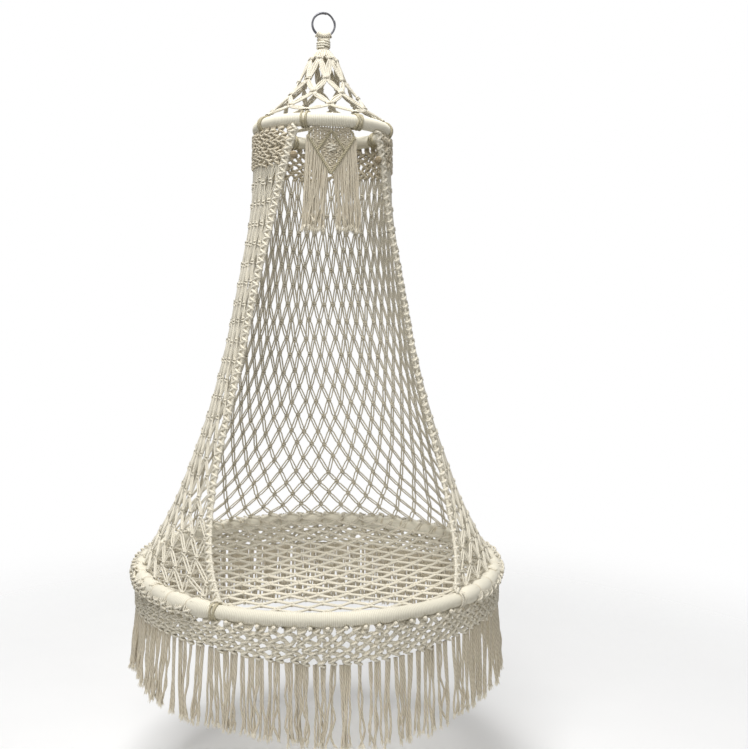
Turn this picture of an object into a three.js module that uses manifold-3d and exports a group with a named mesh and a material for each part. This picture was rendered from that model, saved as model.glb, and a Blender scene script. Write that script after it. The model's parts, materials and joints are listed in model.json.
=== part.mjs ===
import * as THREE from "three";
import { mergeVertices } from "three/addons/utils/BufferGeometryUtils.js";
import Module from "manifold-3d";

// A macrame hanging chair in millimetres: two wound steel hoops, joined by a knotted net with an
// open front, hang from a split ring by a cone of cords. +Z is up and the opening faces -Y.
// The origin is where a hook bears, inside the top of the ring. Azimuths run from the front
// towards +X.

const wasm = await Module();
wasm.setup();

// Fits
const seatGap = 0.3;
const boreGap = 0.4;
const cutOverrun = 4;
const mergeDistance = 1e-4;

// Cords
const cordDiameter = 3.5;
const bindingCordDiameter = 4.4;

// Hanging ring, a split ring of two turns of wire
const ringWireDiameter = 3.2;
const ringCentreRadius = 24.2;
const ringTurnGap = 0.5;
const ringTurns = 2;
const ringTurnSteps = 24;
const ringWireSides = 8;
const ringEndAngle = 40;
const ringJogAngle = 50;

// Loop of cords round the ring, and the neck below it
const loopHalfAngle = 36;
const loopSteps = 7;
const loopSides = 10;
const neckShoulderRadius = 13.5;
const neckShoulderHeight = 3.5;
const neckRadius = 10.5;
const neckSides = 20;
const neckTail = 1.2;
const neckSwing = 45;
const cradleSteps = 8;

// Binding wound round the neck
const bindingTurns = 3;
const bindingTurnGap = 0.5;
const bindingTurnSteps = 20;
const bindingSides = 6;

// Hoops, given to the centre of their tube
const hangToUpperHoop = 250;
const hoopSpacing = 940;
const upperHoopRadius = 137;
const lowerHoopRadius = 386;
const hoopTubeDiameter = 20;
const hoopTubeSides = 8;
const windingThickness = 3.4;
const windingSeam = 0.6;
const upperHoopSteps = 32;
const frontArcSteps = 12;
const beadSteps = 3;
const beadRise = 1.3;
const beadDip = 1;

// Lashings
const lashingCount = 8;
const lashingWidth = 15;
const lashingThickness = 3.5;
const lashingEdgeThickness = 2;

// Front opening, as half angles at the hoops and where it is widest, and the room at the top
// between its left braid and the lashing beside it
const openingHalfAngle = 37;
const openingWidestHalfAngle = 62;
const openingCurvePower = 2.6;
const leftBraidToLashing = 2.6;

// Bell shaped wall: radius against height, as shares from the upper hoop to the landing
const wallFlareShares = [
  [0, 0],
  [0.12, 0.01],
  [0.2, 0.04],
  [0.3, 0.108],
  [0.4, 0.182],
  [0.5, 0.26],
  [0.64, 0.4],
  [0.76, 0.56],
  [0.86, 0.71],
  [0.935, 0.86],
  [1, 1],
];
const wallTopOffset = 9;
const wallLandingInset = 5;
const wallLandingSlope = 30;

// Knotted band under the upper hoop
const bandDepth = 67;
const bandThickness = 7;
const bandKnotRise = 1.6;
const bandScallop = 6;
const bandKnotRows = 4;
const bandSideGap = 0.8;

// Body net
const netColumns = 16;
const netRows = 12;
const netKnotHalf = 6;
const netKnotDepthHalf = 3.5;

// Edge braids of square knots, beside the opening
const braidHalfWidth = 8.5;
const braidHalfThickness = 4.5;
const braidWaistShare = 0.78;
const braidKnots = 15;
const braidSides = 6;

// Round knots at the top corners of the opening
const cornerKnotRadius = 8;
const cornerKnotDrop = 54;
const cornerKnotSides = 8;

// Crown net
const crownColumns = 8;
const crownRows = 5;
const crownKnotHalf = 4;
const crownKnotDepthHalf = 3;
const crownTopSlope = 38;
const crownLandingSlope = 52;
const crownFlareShares = [
  [0, 0],
  [0.14, 0.15],
  [0.42, 0.31],
  [0.67, 0.53],
  [0.89, 0.8],
  [1, 1],
];
const crownRowShares = [0, 0.14, 0.4, 0.61, 0.83, 1];

// Seat net
const seatMeshWidth = 91;
const seatMeshDepth = 101;
const seatKnotHalf = 6;
const seatKnotDepthHalf = 3.5;
const seatSag = 14;
const seatShortestEndShare = 0.22;

// Skirt band and fringe
const skirtRadiusOffset = 8;
const skirtDepth = 50;
const skirtFrontDepth = 67;
const skirtThickness = 7;
const skirtKnotRise = 1.6;
const skirtScallop = 7;
const skirtKnotRows = 4;
const skirtSteps = 64;
const fringeNames = ["front", "right", "back", "left"];
const fringeStrands = 23;
const fringeStrandRadius = 3.4;
const fringeStrandSides = 3;
const fringeBackingHeight = 6;
const fringeBackingThickness = 6;
const fringeBackingSteps = 8;
const fringeLength = 151;
const fringeLengthSpread = 8;
const fringeFlare = 8;
const fringeEndGap = 2;

// Front ornament, a flat knotted panel with a diamond, and its fringe
const ornamentTopHalfWidth = 39;
const ornamentHalfWidth = 54;
const ornamentShoulderDrop = 15;
const ornamentDepth = 92;
const ornamentThickness = 3.5;
const ornamentSetback = 3;
const ornamentRidgeRadius = 2.9;
const ornamentRidgeSides = 6;
const ornamentRidgeInset = 3.5;
const ornamentMeetShare = 0.42;
const ornamentStrands = 8;
const ornamentStrandRadius = 2.5;
const ornamentStrandSides = 3;
const ornamentStrandSplay = 6;
const ornamentBackingHeight = 5;
const ornamentBackingSides = 4;
const ornamentFringeBottom = 209;
const ornamentTipClear = 12;

// Heights and radii that follow from the sizes above
const ringWireRadius = ringWireDiameter / 2;
const ringCentreHeight = ringWireRadius - ringCentreRadius;
const ringBottomHeight = ringCentreHeight - ringCentreRadius;
const ringTurnPitch = ringWireDiameter + ringTurnGap;
const loopBoreRadius = Math.hypot(ringTurnPitch / 2 + ringWireRadius, ringWireRadius) + boreGap;
const loopOuterRadius = loopBoreRadius + cordDiameter;
const cradleRadius = loopOuterRadius + seatGap;
const bindingPitch = bindingCordDiameter + bindingTurnGap;
const bindingTop = ringBottomHeight - cradleRadius - neckTail;
const bindingFirstTurn = bindingTop - bindingCordDiameter / 2;
const neckBottom = bindingFirstTurn - bindingTurns * bindingPitch - bindingCordDiameter / 2;
const upperHoopHeight = -hangToUpperHoop;
const lowerHoopHeight = upperHoopHeight - hoopSpacing;
const hoopTubeRadius = hoopTubeDiameter / 2;
const windingBore = hoopTubeRadius + seatGap;
const windingRadius = windingBore + windingThickness;
const lashingBore = windingRadius + seatGap;
const lashingRadius = lashingBore + lashingThickness;
const hoopFlatShare = Math.cos(Math.PI / hoopTubeSides);
const windingFlat = windingRadius * hoopFlatShare;
const lashingFlat = lashingRadius * hoopFlatShare;
const lashingHalfAngle = angleOver(lashingWidth / 2, lowerHoopRadius);
const crownTopReach = crownKnotHalf * Math.cos(radians(crownTopSlope));
const crownTop = neckBottom - seatGap - crownTopReach;
const crownLandingReach = crownKnotHalf * Math.cos(radians(crownLandingSlope));
const crownLanding = upperHoopHeight + lashingFlat + seatGap + crownLandingReach;
const leftBraidRoom = lashingWidth / 2 + leftBraidToLashing + braidHalfWidth;
const leftBraidAngle = 180 / lashingCount + angleOver(leftBraidRoom, upperHoopRadius);
const openingTurn = openingHalfAngle - leftBraidAngle;
const netMargin = braidHalfWidth + seatGap + netKnotHalf;
const skirtRadius = lowerHoopRadius + skirtRadiusOffset;
const skirtTop = lowerHoopHeight - lashingFlat - seatGap;

// Angles and placing

function radians(degrees) {
  return THREE.MathUtils.degToRad(degrees);
}

function angleOver(length, radius) {
  return THREE.MathUtils.radToDeg(length / radius);
}

function polar(azimuth, radius, height) {
  const a = radians(azimuth);
  return new THREE.Vector3(radius * Math.sin(a), -radius * Math.cos(a), height);
}

function evenly(from, to, steps) {
  return Array.from({ length: steps + 1 }, (_, i) => from + ((to - from) * i) / steps);
}

// Geometry from points and triangles

function solidGeometry(points, triangles) {
  const geometry = new THREE.BufferGeometry().setFromPoints(points);
  geometry.setIndex(triangles);
  return geometry;
}

function addQuad(triangles, a, b, c, d) {
  triangles.push(a, b, c, a, c, d);
}

// Skins a row of sections that each run anticlockwise seen from the far end
function loft(sections, closed = false) {
  const size = sections[0].length;
  const triangles = [];
  const spans = closed ? sections.length : sections.length - 1;
  for (let s = 0; s < spans; s++) {
    const here = s * size;
    const next = ((s + 1) % sections.length) * size;
    for (let k = 0; k < size; k++) {
      const after = (k + 1) % size;
      addQuad(triangles, here + k, here + after, next + after, next + k);
    }
  }
  if (!closed) {
    const last = (sections.length - 1) * size;
    for (const [a, b, c] of capTriangles(size)) {
      triangles.push(a, c, b);
      triangles.push(last + a, last + b, last + c);
    }
  }
  return solidGeometry(sections.flat(), triangles);
}

// Fills a section with a zigzag strip, from its first and last points to its middle ones
function capTriangles(size) {
  const triangles = [];
  let low = 0;
  let high = size - 1;
  while (high - low > 1) {
    triangles.push([low, low + 1, high]);
    low += 1;
    if (high - low > 1) triangles.push([low, high - 1, high]);
    high -= 1;
  }
  return triangles;
}

// An open-ended tube with a wall, from outer and inner sections of the same number of points
function sleeve(outer, inner) {
  const size = outer[0].length;
  const points = [...outer.flat(), ...inner.flat()];
  const bore = outer.length * size;
  const triangles = [];
  for (let s = 0; s < outer.length - 1; s++) {
    const here = s * size;
    const next = here + size;
    for (let k = 0; k < size; k++) {
      const after = (k + 1) % size;
      addQuad(triangles, here + k, here + after, next + after, next + k);
      addQuad(triangles, bore + here + after, bore + here + k, bore + next + k, bore + next + after);
    }
  }
  const last = (outer.length - 1) * size;
  for (let k = 0; k < size; k++) {
    const after = (k + 1) % size;
    addQuad(triangles, after, k, bore + k, bore + after);
    addQuad(triangles, last + k, last + after, bore + last + after, bore + last + k);
  }
  return solidGeometry(points, triangles);
}

// A tube along points: each section is an ellipse across the path, whose first axis leans on side
function tube(points, { side, halfWidth, halfThickness, sides }) {
  const sections = points.map((point, i) => {
    const before = points[Math.max(0, i - 1)];
    const after = points[Math.min(points.length - 1, i + 1)];
    const along = after.clone().sub(before).normalize();
    const second = along.clone().cross(side(i)).normalize();
    const first = second.clone().cross(along);
    return Array.from({ length: sides }, (_, k) => {
      const turn = (2 * Math.PI * (k + 1 / 2)) / sides;
      return point
        .clone()
        .addScaledVector(first, halfWidth(i) * Math.cos(turn))
        .addScaledVector(second, halfThickness(i) * Math.sin(turn));
    });
  });
  return loft(sections);
}

// The least gap that a wound tube leaves to itself, between points at least half a turn apart
function leastGap(points, turnSteps, diameter) {
  let least = Infinity;
  for (let i = 0; i < points.length; i++) {
    for (let j = i + Math.round(turnSteps / 2); j < points.length; j++) {
      least = Math.min(least, points[i].distanceTo(points[j]) - diameter);
    }
  }
  return least;
}

// Joins and cuts

function manifoldOf(geometry) {
  const bare = new THREE.BufferGeometry();
  bare.setAttribute("position", geometry.getAttribute("position"));
  bare.setIndex(geometry.index);
  const merged = mergeVertices(bare, mergeDistance);
  return new wasm.Manifold(
    new wasm.Mesh({
      numProp: 3,
      vertProperties: merged.getAttribute("position").array,
      triVerts: new Uint32Array(merged.index.array),
    }),
  );
}

function geometryOf(manifold) {
  const mesh = manifold.getMesh();
  const geometry = new THREE.BufferGeometry();
  geometry.setAttribute("position", new THREE.BufferAttribute(mesh.vertProperties, 3));
  geometry.setIndex(new THREE.BufferAttribute(mesh.triVerts, 1));
  return geometry;
}

function join(geometries) {
  return geometryOf(geometries.map(manifoldOf).reduce((sum, next) => sum.add(next)));
}

function cut(geometry, tool) {
  return geometryOf(manifoldOf(geometry).subtract(manifoldOf(tool)));
}

// Nets: every knot is a small octahedron, and every cord a four-sided bar between two knots.
// A cord leaves its knot through one of four sectors, each bounded by four of its corners.

const knotCorners = ["front", "back", "up", "down", "left", "right"];
const sectorCorners = {
  downRight: ["front", "down", "back", "right"],
  downLeft: ["front", "left", "back", "down"],
  upLeft: ["front", "up", "back", "left"],
  upRight: ["front", "right", "back", "up"],
};
const arrivals = {
  downRight: { corners: ["front", "left", "back", "up"], sector: "upLeft" },
  downLeft: { corners: ["front", "up", "back", "right"], sector: "upRight" },
};

function cornerOffset(knot, corner) {
  const { across, up, out, half, depthHalf } = knot;
  const offsets = {
    front: [out, depthHalf],
    back: [out, -depthHalf],
    up: [up, half],
    down: [up, -half],
    left: [across, -half],
    right: [across, half],
  };
  const [axis, length] = offsets[corner];
  return axis.clone().multiplyScalar(length);
}

// Each knot lists, by sector, the key of the knot that its cord runs to or the point where the
// cord ends. A sector with neither is closed flat.
function netGeometry(knots) {
  const points = [];
  const triangles = [];
  const corners = new Map();
  for (const [key, knot] of knots) {
    const placed = {};
    for (const corner of knotCorners) {
      placed[corner] = points.length;
      points.push(knot.point.clone().add(cornerOffset(knot, corner)));
    }
    corners.set(key, placed);
  }
  const arrived = new Set();
  const addCord = (start, end) => {
    start.forEach((corner, k) => {
      const after = (k + 1) % start.length;
      addQuad(triangles, corner, start[after], end[after], end[k]);
    });
  };
  for (const [key, knot] of knots) {
    for (const [sector, arrival] of Object.entries(arrivals)) {
      const target = knot.cords[sector];
      if (!knots.has(target)) continue;
      const start = sectorCorners[sector].map((corner) => corners.get(key)[corner]);
      const end = arrival.corners.map((corner) => corners.get(target)[corner]);
      addCord(start, end);
      arrived.add(`${key} ${sector}`);
      arrived.add(`${target} ${arrival.sector}`);
    }
  }
  for (const [key, knot] of knots) {
    for (const [sector, names] of Object.entries(sectorCorners)) {
      if (arrived.has(`${key} ${sector}`)) continue;
      let rim = names.map((corner) => corners.get(key)[corner]);
      const target = knot.cords[sector];
      if (target instanceof THREE.Vector3) {
        const offsets = names.map((corner) => cornerOffset(knot, corner));
        const middle = offsets[1].clone().add(offsets[3]).divideScalar(2);
        const end = offsets.map((offset, k) => {
          points.push(target.clone().add(k % 2 ? offset.clone().sub(middle) : offset));
          return points.length - 1;
        });
        addCord(rim, end);
        rim = end;
      }
      const [outer, ...others] = rim;
      addQuad(triangles, ...others, outer);
    }
  }
  return solidGeometry(points, triangles);
}

// Frame of a surface at a column and row: across to the right, up, and out of the surface
function surfaceFrame(surface, column, row) {
  const point = surface(column, row);
  const step = 1e-3;
  const across = surface(column + step, row).sub(surface(column - step, row)).normalize();
  const rise = surface(column, row - step).sub(surface(column, row + step));
  const out = across.clone().cross(rise).normalize();
  const up = out.clone().cross(across);
  return { point, across, up, out };
}

// A net in rows: even rows have knots at whole columns, odd rows halfway between them
function rowNet({ surface, columns, rows, closed, half, depthHalf }) {
  const knots = new Map();
  const keyOf = (place, row) => {
    const wrapped = closed ? (place + 2 * columns) % (2 * columns) : place;
    return `${wrapped} in row ${row}`;
  };
  for (let row = 0; row <= rows; row++) {
    const shift = row % 2;
    const last = closed ? 2 * columns - 1 : 2 * columns;
    for (let place = shift; place <= last; place += 2) {
      knots.set(keyOf(place, row), {
        ...surfaceFrame(surface, place / 2, row),
        half,
        depthHalf,
        cords: { downRight: keyOf(place + 1, row + 1), downLeft: keyOf(place - 1, row + 1) },
      });
    }
  }
  return netGeometry(knots);
}

// Wall of the chair

const wallTop = {
  radius: upperHoopRadius + wallTopOffset,
  height: upperHoopHeight - lashingFlat - seatGap,
};
const landingFlat = (windingRadius - beadDip) * hoopFlatShare;
const knotReach = netKnotHalf * Math.cos(radians(wallLandingSlope));
const wallLanding = {
  radius: lowerHoopRadius - wallLandingInset,
  height: lowerHoopHeight + landingFlat + seatGap + knotReach,
};
const wallCurve = flareCurve(wallTop, wallLanding, wallFlareShares);

function flareCurve(from, to, shares) {
  return new THREE.SplineCurve(
    shares.map(
      ([drop, flare]) =>
        new THREE.Vector2(
          THREE.MathUtils.lerp(from.radius, to.radius, flare),
          THREE.MathUtils.lerp(from.height, to.height, drop),
        ),
    ),
  );
}

// The azimuth of an edge of the opening, the right one for side 1 and the left one for side -1.
// Near the top the whole opening turns towards +X, until the left braid stands by its lashing.
function edgeAzimuthAt(height, side) {
  const reach = wallTop.height - wallLanding.height;
  const drop = THREE.MathUtils.clamp((wallTop.height - height) / reach, 0, 1);
  const bulge = 1 - Math.abs(2 * drop - 1) ** openingCurvePower;
  const half = THREE.MathUtils.lerp(openingHalfAngle, openingWidestHalfAngle, bulge);
  return side * half + openingTurn * (1 - THREE.MathUtils.smoothstep(drop, 0, 1));
}

// The share of the wall curve's length at which it has dropped to a height
function wallShareAt(height) {
  let low = 0;
  let high = 1;
  for (let i = 0; i < 40; i++) {
    const middle = (low + high) / 2;
    if (wallCurve.getPointAt(middle).y > height) low = middle;
    else high = middle;
  }
  return (low + high) / 2;
}

// An edge of the opening at a share of the wall curve's length
function openingEdge(share, side) {
  const { x: radius, y: height } = wallCurve.getPointAt(THREE.MathUtils.clamp(share, 0, 1));
  return polar(edgeAzimuthAt(height, side), radius, height);
}

// How much further round a margin reaches, because the edge slants across it
function slantFactor(share, side) {
  const step = 1e-3;
  const low = THREE.MathUtils.clamp(share, step, 1 - step);
  const along = openingEdge(low + step, side).sub(openingEdge(low - step, side)).normalize();
  const { x, y } = openingEdge(share, side);
  const across = new THREE.Vector3(-y, x, 0).normalize();
  return 1 / Math.sqrt(1 - along.dot(across) ** 2);
}

// A point of the wall from its share of the curve and its share of the way round from one braid
// to the other, kept a margin clear of both
function wallPoint(share, round, margin) {
  const { x: radius, y: height } = wallCurve.getPointAt(THREE.MathUtils.clamp(share, 0, 1));
  const beyond = (side) =>
    edgeAzimuthAt(height, side) + side * angleOver(margin * slantFactor(share, side), radius);
  return polar(THREE.MathUtils.lerp(beyond(1), 360 + beyond(-1), round), radius, height);
}

// Where the body net lands on the lower hoop
const netLanding = {
  azimuth: openingHalfAngle + angleOver(netMargin * slantFactor(1, 1), wallLanding.radius),
  steps: netColumns * beadSteps,
};
const rearArcStep = (360 - 2 * netLanding.azimuth) / netLanding.steps;
const rearChordRadius = lowerHoopRadius * Math.cos(radians(rearArcStep / 2));
const seatEdgeRadius = rearChordRadius - windingRadius - beadRise - seatGap;

// Hoops and what is wound on them

// Section round a hoop's tube at an azimuth, running anticlockwise seen from further round
function hoopSection(azimuth, hoop, radius) {
  return Array.from({ length: hoopTubeSides }, (_, k) => {
    const turn = (2 * Math.PI * (k + 1 / 2)) / hoopTubeSides;
    const reach = hoop.radius + radius * Math.cos(turn);
    return polar(azimuth, reach, hoop.height - radius * Math.sin(turn));
  });
}

function hoopTube(hoop, azimuths) {
  return loft(azimuths.map((azimuth) => hoopSection(azimuth, hoop, hoopTubeRadius)), true);
}

// The cord winding on a stretch of hoop, taken as a sleeve whose radius may vary along it
function hoopWinding(hoop, azimuths, radiusAt) {
  return sleeve(
    azimuths.map((azimuth, i) => hoopSection(azimuth, hoop, radiusAt(i))),
    azimuths.map((azimuth) => hoopSection(azimuth, hoop, windingBore)),
  );
}

// A lashing, a ridged collar round the winding
function lashing(hoop, azimuth) {
  const across = new THREE.Vector3(Math.cos(radians(azimuth)), Math.sin(radians(azimuth)), 0);
  const centreDrop = hoop.radius - hoop.chordRadius;
  const profile = [
    [-lashingWidth / 2, lashingBore],
    [-lashingWidth / 2, lashingBore + lashingEdgeThickness],
    [-lashingWidth / 4, lashingRadius],
    [lashingWidth / 4, lashingRadius],
    [lashingWidth / 2, lashingBore + lashingEdgeThickness],
    [lashingWidth / 2, lashingBore],
  ];
  const sections = Array.from({ length: hoopTubeSides }, (_, k) => {
    const turn = (2 * Math.PI * (k + 1 / 2)) / hoopTubeSides;
    return profile.map(([along, radius]) => {
      const reach = hoop.radius - centreDrop + radius * Math.cos(turn);
      const point = polar(azimuth, reach, hoop.height + radius * Math.sin(turn));
      return point.addScaledVector(across, along);
    });
  });
  return loft(sections, true);
}

const upperHoop = {
  radius: upperHoopRadius,
  height: upperHoopHeight,
  chordRadius: upperHoopRadius * Math.cos(Math.PI / upperHoopSteps),
};
const lowerHoop = {
  radius: lowerHoopRadius,
  height: lowerHoopHeight,
  chordRadius: lowerHoopRadius * Math.cos(radians(lashingHalfAngle)),
};

function upperHoopAzimuths() {
  const step = 360 / upperHoopSteps;
  const start = 180 - 180 / lashingCount + step / 2;
  return evenly(start, start + 360, upperHoopSteps);
}

// The lower hoop bends at the ends of both foot lashings, and evenly under the body net
function rearArcAzimuths() {
  const edge = openingHalfAngle + lashingHalfAngle;
  const { azimuth, steps } = netLanding;
  return [edge, ...evenly(azimuth, 360 - azimuth, steps), 360 - edge];
}

function frontArcAzimuths() {
  const edge = openingHalfAngle - lashingHalfAngle;
  return evenly(-edge, edge, frontArcSteps);
}

function upperHoopWinding() {
  const azimuths = upperHoopAzimuths();
  const seam = angleOver(windingSeam, upperHoopRadius);
  azimuths[azimuths.length - 1] -= seam;
  return hoopWinding(upperHoop, azimuths, () => windingRadius);
}

// Behind the braids the winding dips under each knot of the net and swells between them
function rearWinding() {
  const seam = angleOver(windingSeam / 2, lowerHoopRadius);
  const end = openingHalfAngle + seam;
  const azimuths = [end, ...rearArcAzimuths(), 360 - end];
  return hoopWinding(lowerHoop, azimuths, (i) => {
    const step = i - 2;
    if (step < 0 || step > netLanding.steps) return windingRadius;
    return step % beadSteps === 0 ? windingRadius - beadDip : windingRadius + beadRise;
  });
}

function frontWinding() {
  const seam = angleOver(windingSeam / 2, lowerHoopRadius);
  const end = openingHalfAngle - seam;
  return hoopWinding(lowerHoop, [-end, ...frontArcAzimuths(), end], () => windingRadius);
}

// A knotted band: knots stand out in alternate rows and columns, and its lower edge is scalloped
function knottedBand({ place, steps, depth, thickness, rise, scallop, rows, closed }) {
  const sections = Array.from({ length: closed ? steps : steps + 1 }, (_, i) => {
    const raised = (row) => ((i + row) % 2 ? rise : 0);
    const drop = depth(i) - (i % 2 ? scallop : 0);
    const outer = Array.from({ length: rows }, (_, row) =>
      place(i, (drop * row) / (rows - 1), thickness / 2 + raised(row)),
    );
    const inner = outer.map((_, row) =>
      place(i, (drop * row) / (rows - 1), -thickness / 2),
    );
    return [...outer, ...inner.reverse()];
  });
  return loft(sections, closed);
}

function upperBand() {
  const steps = 2 * netColumns;
  const margin = braidHalfWidth + bandSideGap;
  return knottedBand({
    steps,
    depth: () => bandDepth,
    thickness: bandThickness,
    rise: bandKnotRise,
    scallop: bandScallop,
    rows: bandKnotRows,
    closed: false,
    place: (i, drop, out) => {
      const share = wallShareAt(wallTop.height - drop);
      const point = wallPoint(share, i / steps, margin);
      const radius = Math.hypot(point.x, point.y);
      point.z = wallTop.height - drop;
      return point.multiply(new THREE.Vector3(1 + out / radius, 1 + out / radius, 1));
    },
  });
}

// The skirt hangs deepest in front, and evenly beyond its front quarter
function skirtDepthAt(azimuth) {
  const fromFront = Math.abs(THREE.MathUtils.euclideanModulo(azimuth + 180, 360) - 180);
  const away = THREE.MathUtils.smoothstep(fromFront, 0, 180 / fringeNames.length);
  return THREE.MathUtils.lerp(skirtFrontDepth, skirtDepth, away);
}

function skirtBand() {
  return knottedBand({
    steps: skirtSteps,
    depth: (i) => skirtDepthAt((360 * i) / skirtSteps),
    thickness: skirtThickness,
    rise: skirtKnotRise,
    scallop: skirtScallop,
    rows: skirtKnotRows,
    closed: true,
    place: (i, drop, out) => polar((360 * i) / skirtSteps, skirtRadius + out, skirtTop - drop),
  });
}

// Ring, loop, neck and binding

function ringWirePoints() {
  const steps = ringTurns * ringTurnSteps;
  const endAngle = ringEndAngle / 2;
  const turnLength = 360;
  return evenly(endAngle, ringTurns * turnLength - endAngle, steps).map((angle) => {
    const jogged = THREE.MathUtils.smoothstep(
      angle,
      turnLength - ringJogAngle / 2,
      turnLength + ringJogAngle / 2,
    );
    const a = radians(angle + ringEndAngle);
    return new THREE.Vector3(
      ringCentreRadius * Math.sin(a),
      ringTurnPitch * (jogged - 1 / 2),
      ringCentreHeight + ringCentreRadius * Math.cos(a),
    );
  });
}

function hangingRing() {
  const points = ringWirePoints();
  console.log("ring: least gap to itself", leastGap(points, ringTurnSteps, ringWireDiameter));
  return tube(points, {
    side: () => new THREE.Vector3(0, 1, 0),
    halfWidth: () => ringWireRadius,
    halfThickness: () => ringWireRadius,
    sides: ringWireSides,
  });
}

// The cords that lie round the ring's wires, a sleeve bent along the bottom of the ring
function cordLoop() {
  const sectionAt = (angle, radius) => {
    const a = radians(angle);
    return Array.from({ length: loopSides }, (_, k) => {
      const turn = (2 * Math.PI * k) / loopSides;
      const reach = ringCentreRadius + radius * Math.cos(turn);
      return new THREE.Vector3(
        reach * Math.sin(a),
        radius * Math.sin(turn),
        ringCentreHeight - reach * Math.cos(a),
      );
    });
  };
  const angles = evenly(-loopHalfAngle, loopHalfAngle, loopSteps);
  return sleeve(
    angles.map((angle) => sectionAt(angle, loopOuterRadius)),
    angles.map((angle) => sectionAt(angle, loopBoreRadius)),
  );
}

// The gathered cords below the loop, with a cradle that lets them swing round it
function neck() {
  const shoulder = bindingTop + neckShoulderHeight;
  const profile = [
    [0, neckBottom],
    [neckRadius, neckBottom],
    [neckRadius, bindingTop],
    [neckShoulderRadius, shoulder],
    [neckShoulderRadius, ringBottomHeight - neckShoulderHeight],
    [neckRadius, ringBottomHeight],
    [0, ringBottomHeight],
  ].map(([radius, height]) => new THREE.Vector2(radius, height));
  const body = new THREE.LatheGeometry(profile, neckSides).rotateX(Math.PI / 2);
  return cut(body, neckCradle());
}

// The cradle widens along the ring as the loop curves up, by what the neck's swing needs
function neckCradle() {
  const reach = neckShoulderRadius + cutOverrun;
  const profile = evenly(-reach, reach, cradleSteps).map((along) => {
    const rise = ringCentreRadius - Math.sqrt(ringCentreRadius ** 2 - along ** 2);
    return new THREE.Vector2(cradleRadius + rise * Math.sin(radians(neckSwing)), along);
  });
  const closed = [new THREE.Vector2(0, -reach), ...profile, new THREE.Vector2(0, reach)];
  const cradle = new THREE.LatheGeometry(closed, neckSides);
  return cradle.rotateZ(Math.PI / 2).translate(0, 0, ringBottomHeight);
}

function binding() {
  const helixRadius = neckRadius + seatGap + bindingCordDiameter / 2;
  const points = evenly(0, bindingTurns, bindingTurns * bindingTurnSteps).map((turn) =>
    polar(360 * turn, helixRadius, bindingFirstTurn - bindingPitch * turn),
  );
  console.log("binding: least gap to itself", leastGap(points, bindingTurnSteps, bindingCordDiameter));
  return tube(points, {
    side: () => new THREE.Vector3(0, 0, 1),
    halfWidth: () => bindingCordDiameter / 2,
    halfThickness: () => bindingCordDiameter / 2,
    sides: bindingSides,
  });
}

// Nets of the chair

function crownNet() {
  const curve = flareCurve(
    { radius: neckRadius, height: crownTop },
    { radius: upperHoopRadius, height: crownLanding },
    crownFlareShares,
  );
  const rowShare = (row) => {
    const whole = THREE.MathUtils.clamp(Math.floor(row), 0, crownRows - 1);
    const [from, to] = crownRowShares.slice(whole, whole + 2);
    return THREE.MathUtils.clamp(THREE.MathUtils.lerp(from, to, row - whole), 0, 1);
  };
  return rowNet({
    columns: crownColumns,
    rows: crownRows,
    closed: true,
    half: crownKnotHalf,
    depthHalf: crownKnotDepthHalf,
    surface: (column, row) => {
      const { x: radius, y: height } = curve.getPointAt(rowShare(row));
      return polar((360 * column) / crownColumns, radius, height);
    },
  });
}

function bodyNet() {
  const firstShare = wallShareAt(wallTop.height - bandDepth - seatGap - netKnotHalf);
  return rowNet({
    columns: netColumns,
    rows: netRows,
    closed: false,
    half: netKnotHalf,
    depthHalf: netKnotDepthHalf,
    surface: (column, row) => {
      const share = THREE.MathUtils.lerp(firstShare, 1, row / netRows);
      return wallPoint(share, column / netColumns, netMargin);
    },
  });
}

// The seat's cords end at the hoop, so knots near it have ends instead of neighbours
function seatNet() {
  const surface = (column, row) => {
    const x = (column * seatMeshWidth) / 2;
    const y = (-row * seatMeshDepth) / 2;
    const share = Math.hypot(x, y) / seatEdgeRadius;
    return new THREE.Vector3(x, y, lowerHoopHeight - seatSag * (1 - Math.min(1, share) ** 2));
  };
  const sectorSteps = {
    downRight: [1, 1],
    downLeft: [-1, 1],
    upLeft: [-1, -1],
    upRight: [1, -1],
  };
  const reach = Math.hypot(seatMeshWidth, seatMeshDepth) / 2;
  const knotLimit = seatEdgeRadius - seatShortestEndShare * reach;
  const isKnot = (column, row) => {
    const { x, y } = surface(column, row);
    return Math.hypot(x, y) < knotLimit;
  };
  const keyOf = (column, row) => `${column} in row ${row}`;
  const knots = new Map();
  const most = Math.ceil((2 * seatEdgeRadius) / Math.min(seatMeshWidth, seatMeshDepth));
  for (let row = -most; row <= most; row++) {
    for (let column = -most; column <= most; column++) {
      if ((row + column) % 2 || !isKnot(column, row)) continue;
      const cords = {};
      for (const [sector, [right, down]] of Object.entries(sectorSteps)) {
        const next = [column + right, row + down];
        cords[sector] = isKnot(...next)
          ? keyOf(...next)
          : hoopEnd(surface(column, row), surface(...next));
      }
      knots.set(keyOf(column, row), {
        ...surfaceFrame(surface, column, row),
        half: seatKnotHalf,
        depthHalf: seatKnotDepthHalf,
        cords,
      });
    }
  }
  return netGeometry(knots);
}

// Where a seat cord that runs from one point towards another meets the hoop, less half its width
function hoopEnd(from, towards) {
  const rim = seatEdgeRadius - seatKnotHalf / 2;
  let low = 0;
  let high = 1;
  for (let i = 0; i < 40; i++) {
    const middle = (low + high) / 2;
    const { x, y } = from.clone().lerp(towards, middle);
    if (Math.hypot(x, y) < rim) low = middle;
    else high = middle;
  }
  return from.clone().lerp(towards, low);
}

// Edge braids and corner knots

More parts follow.
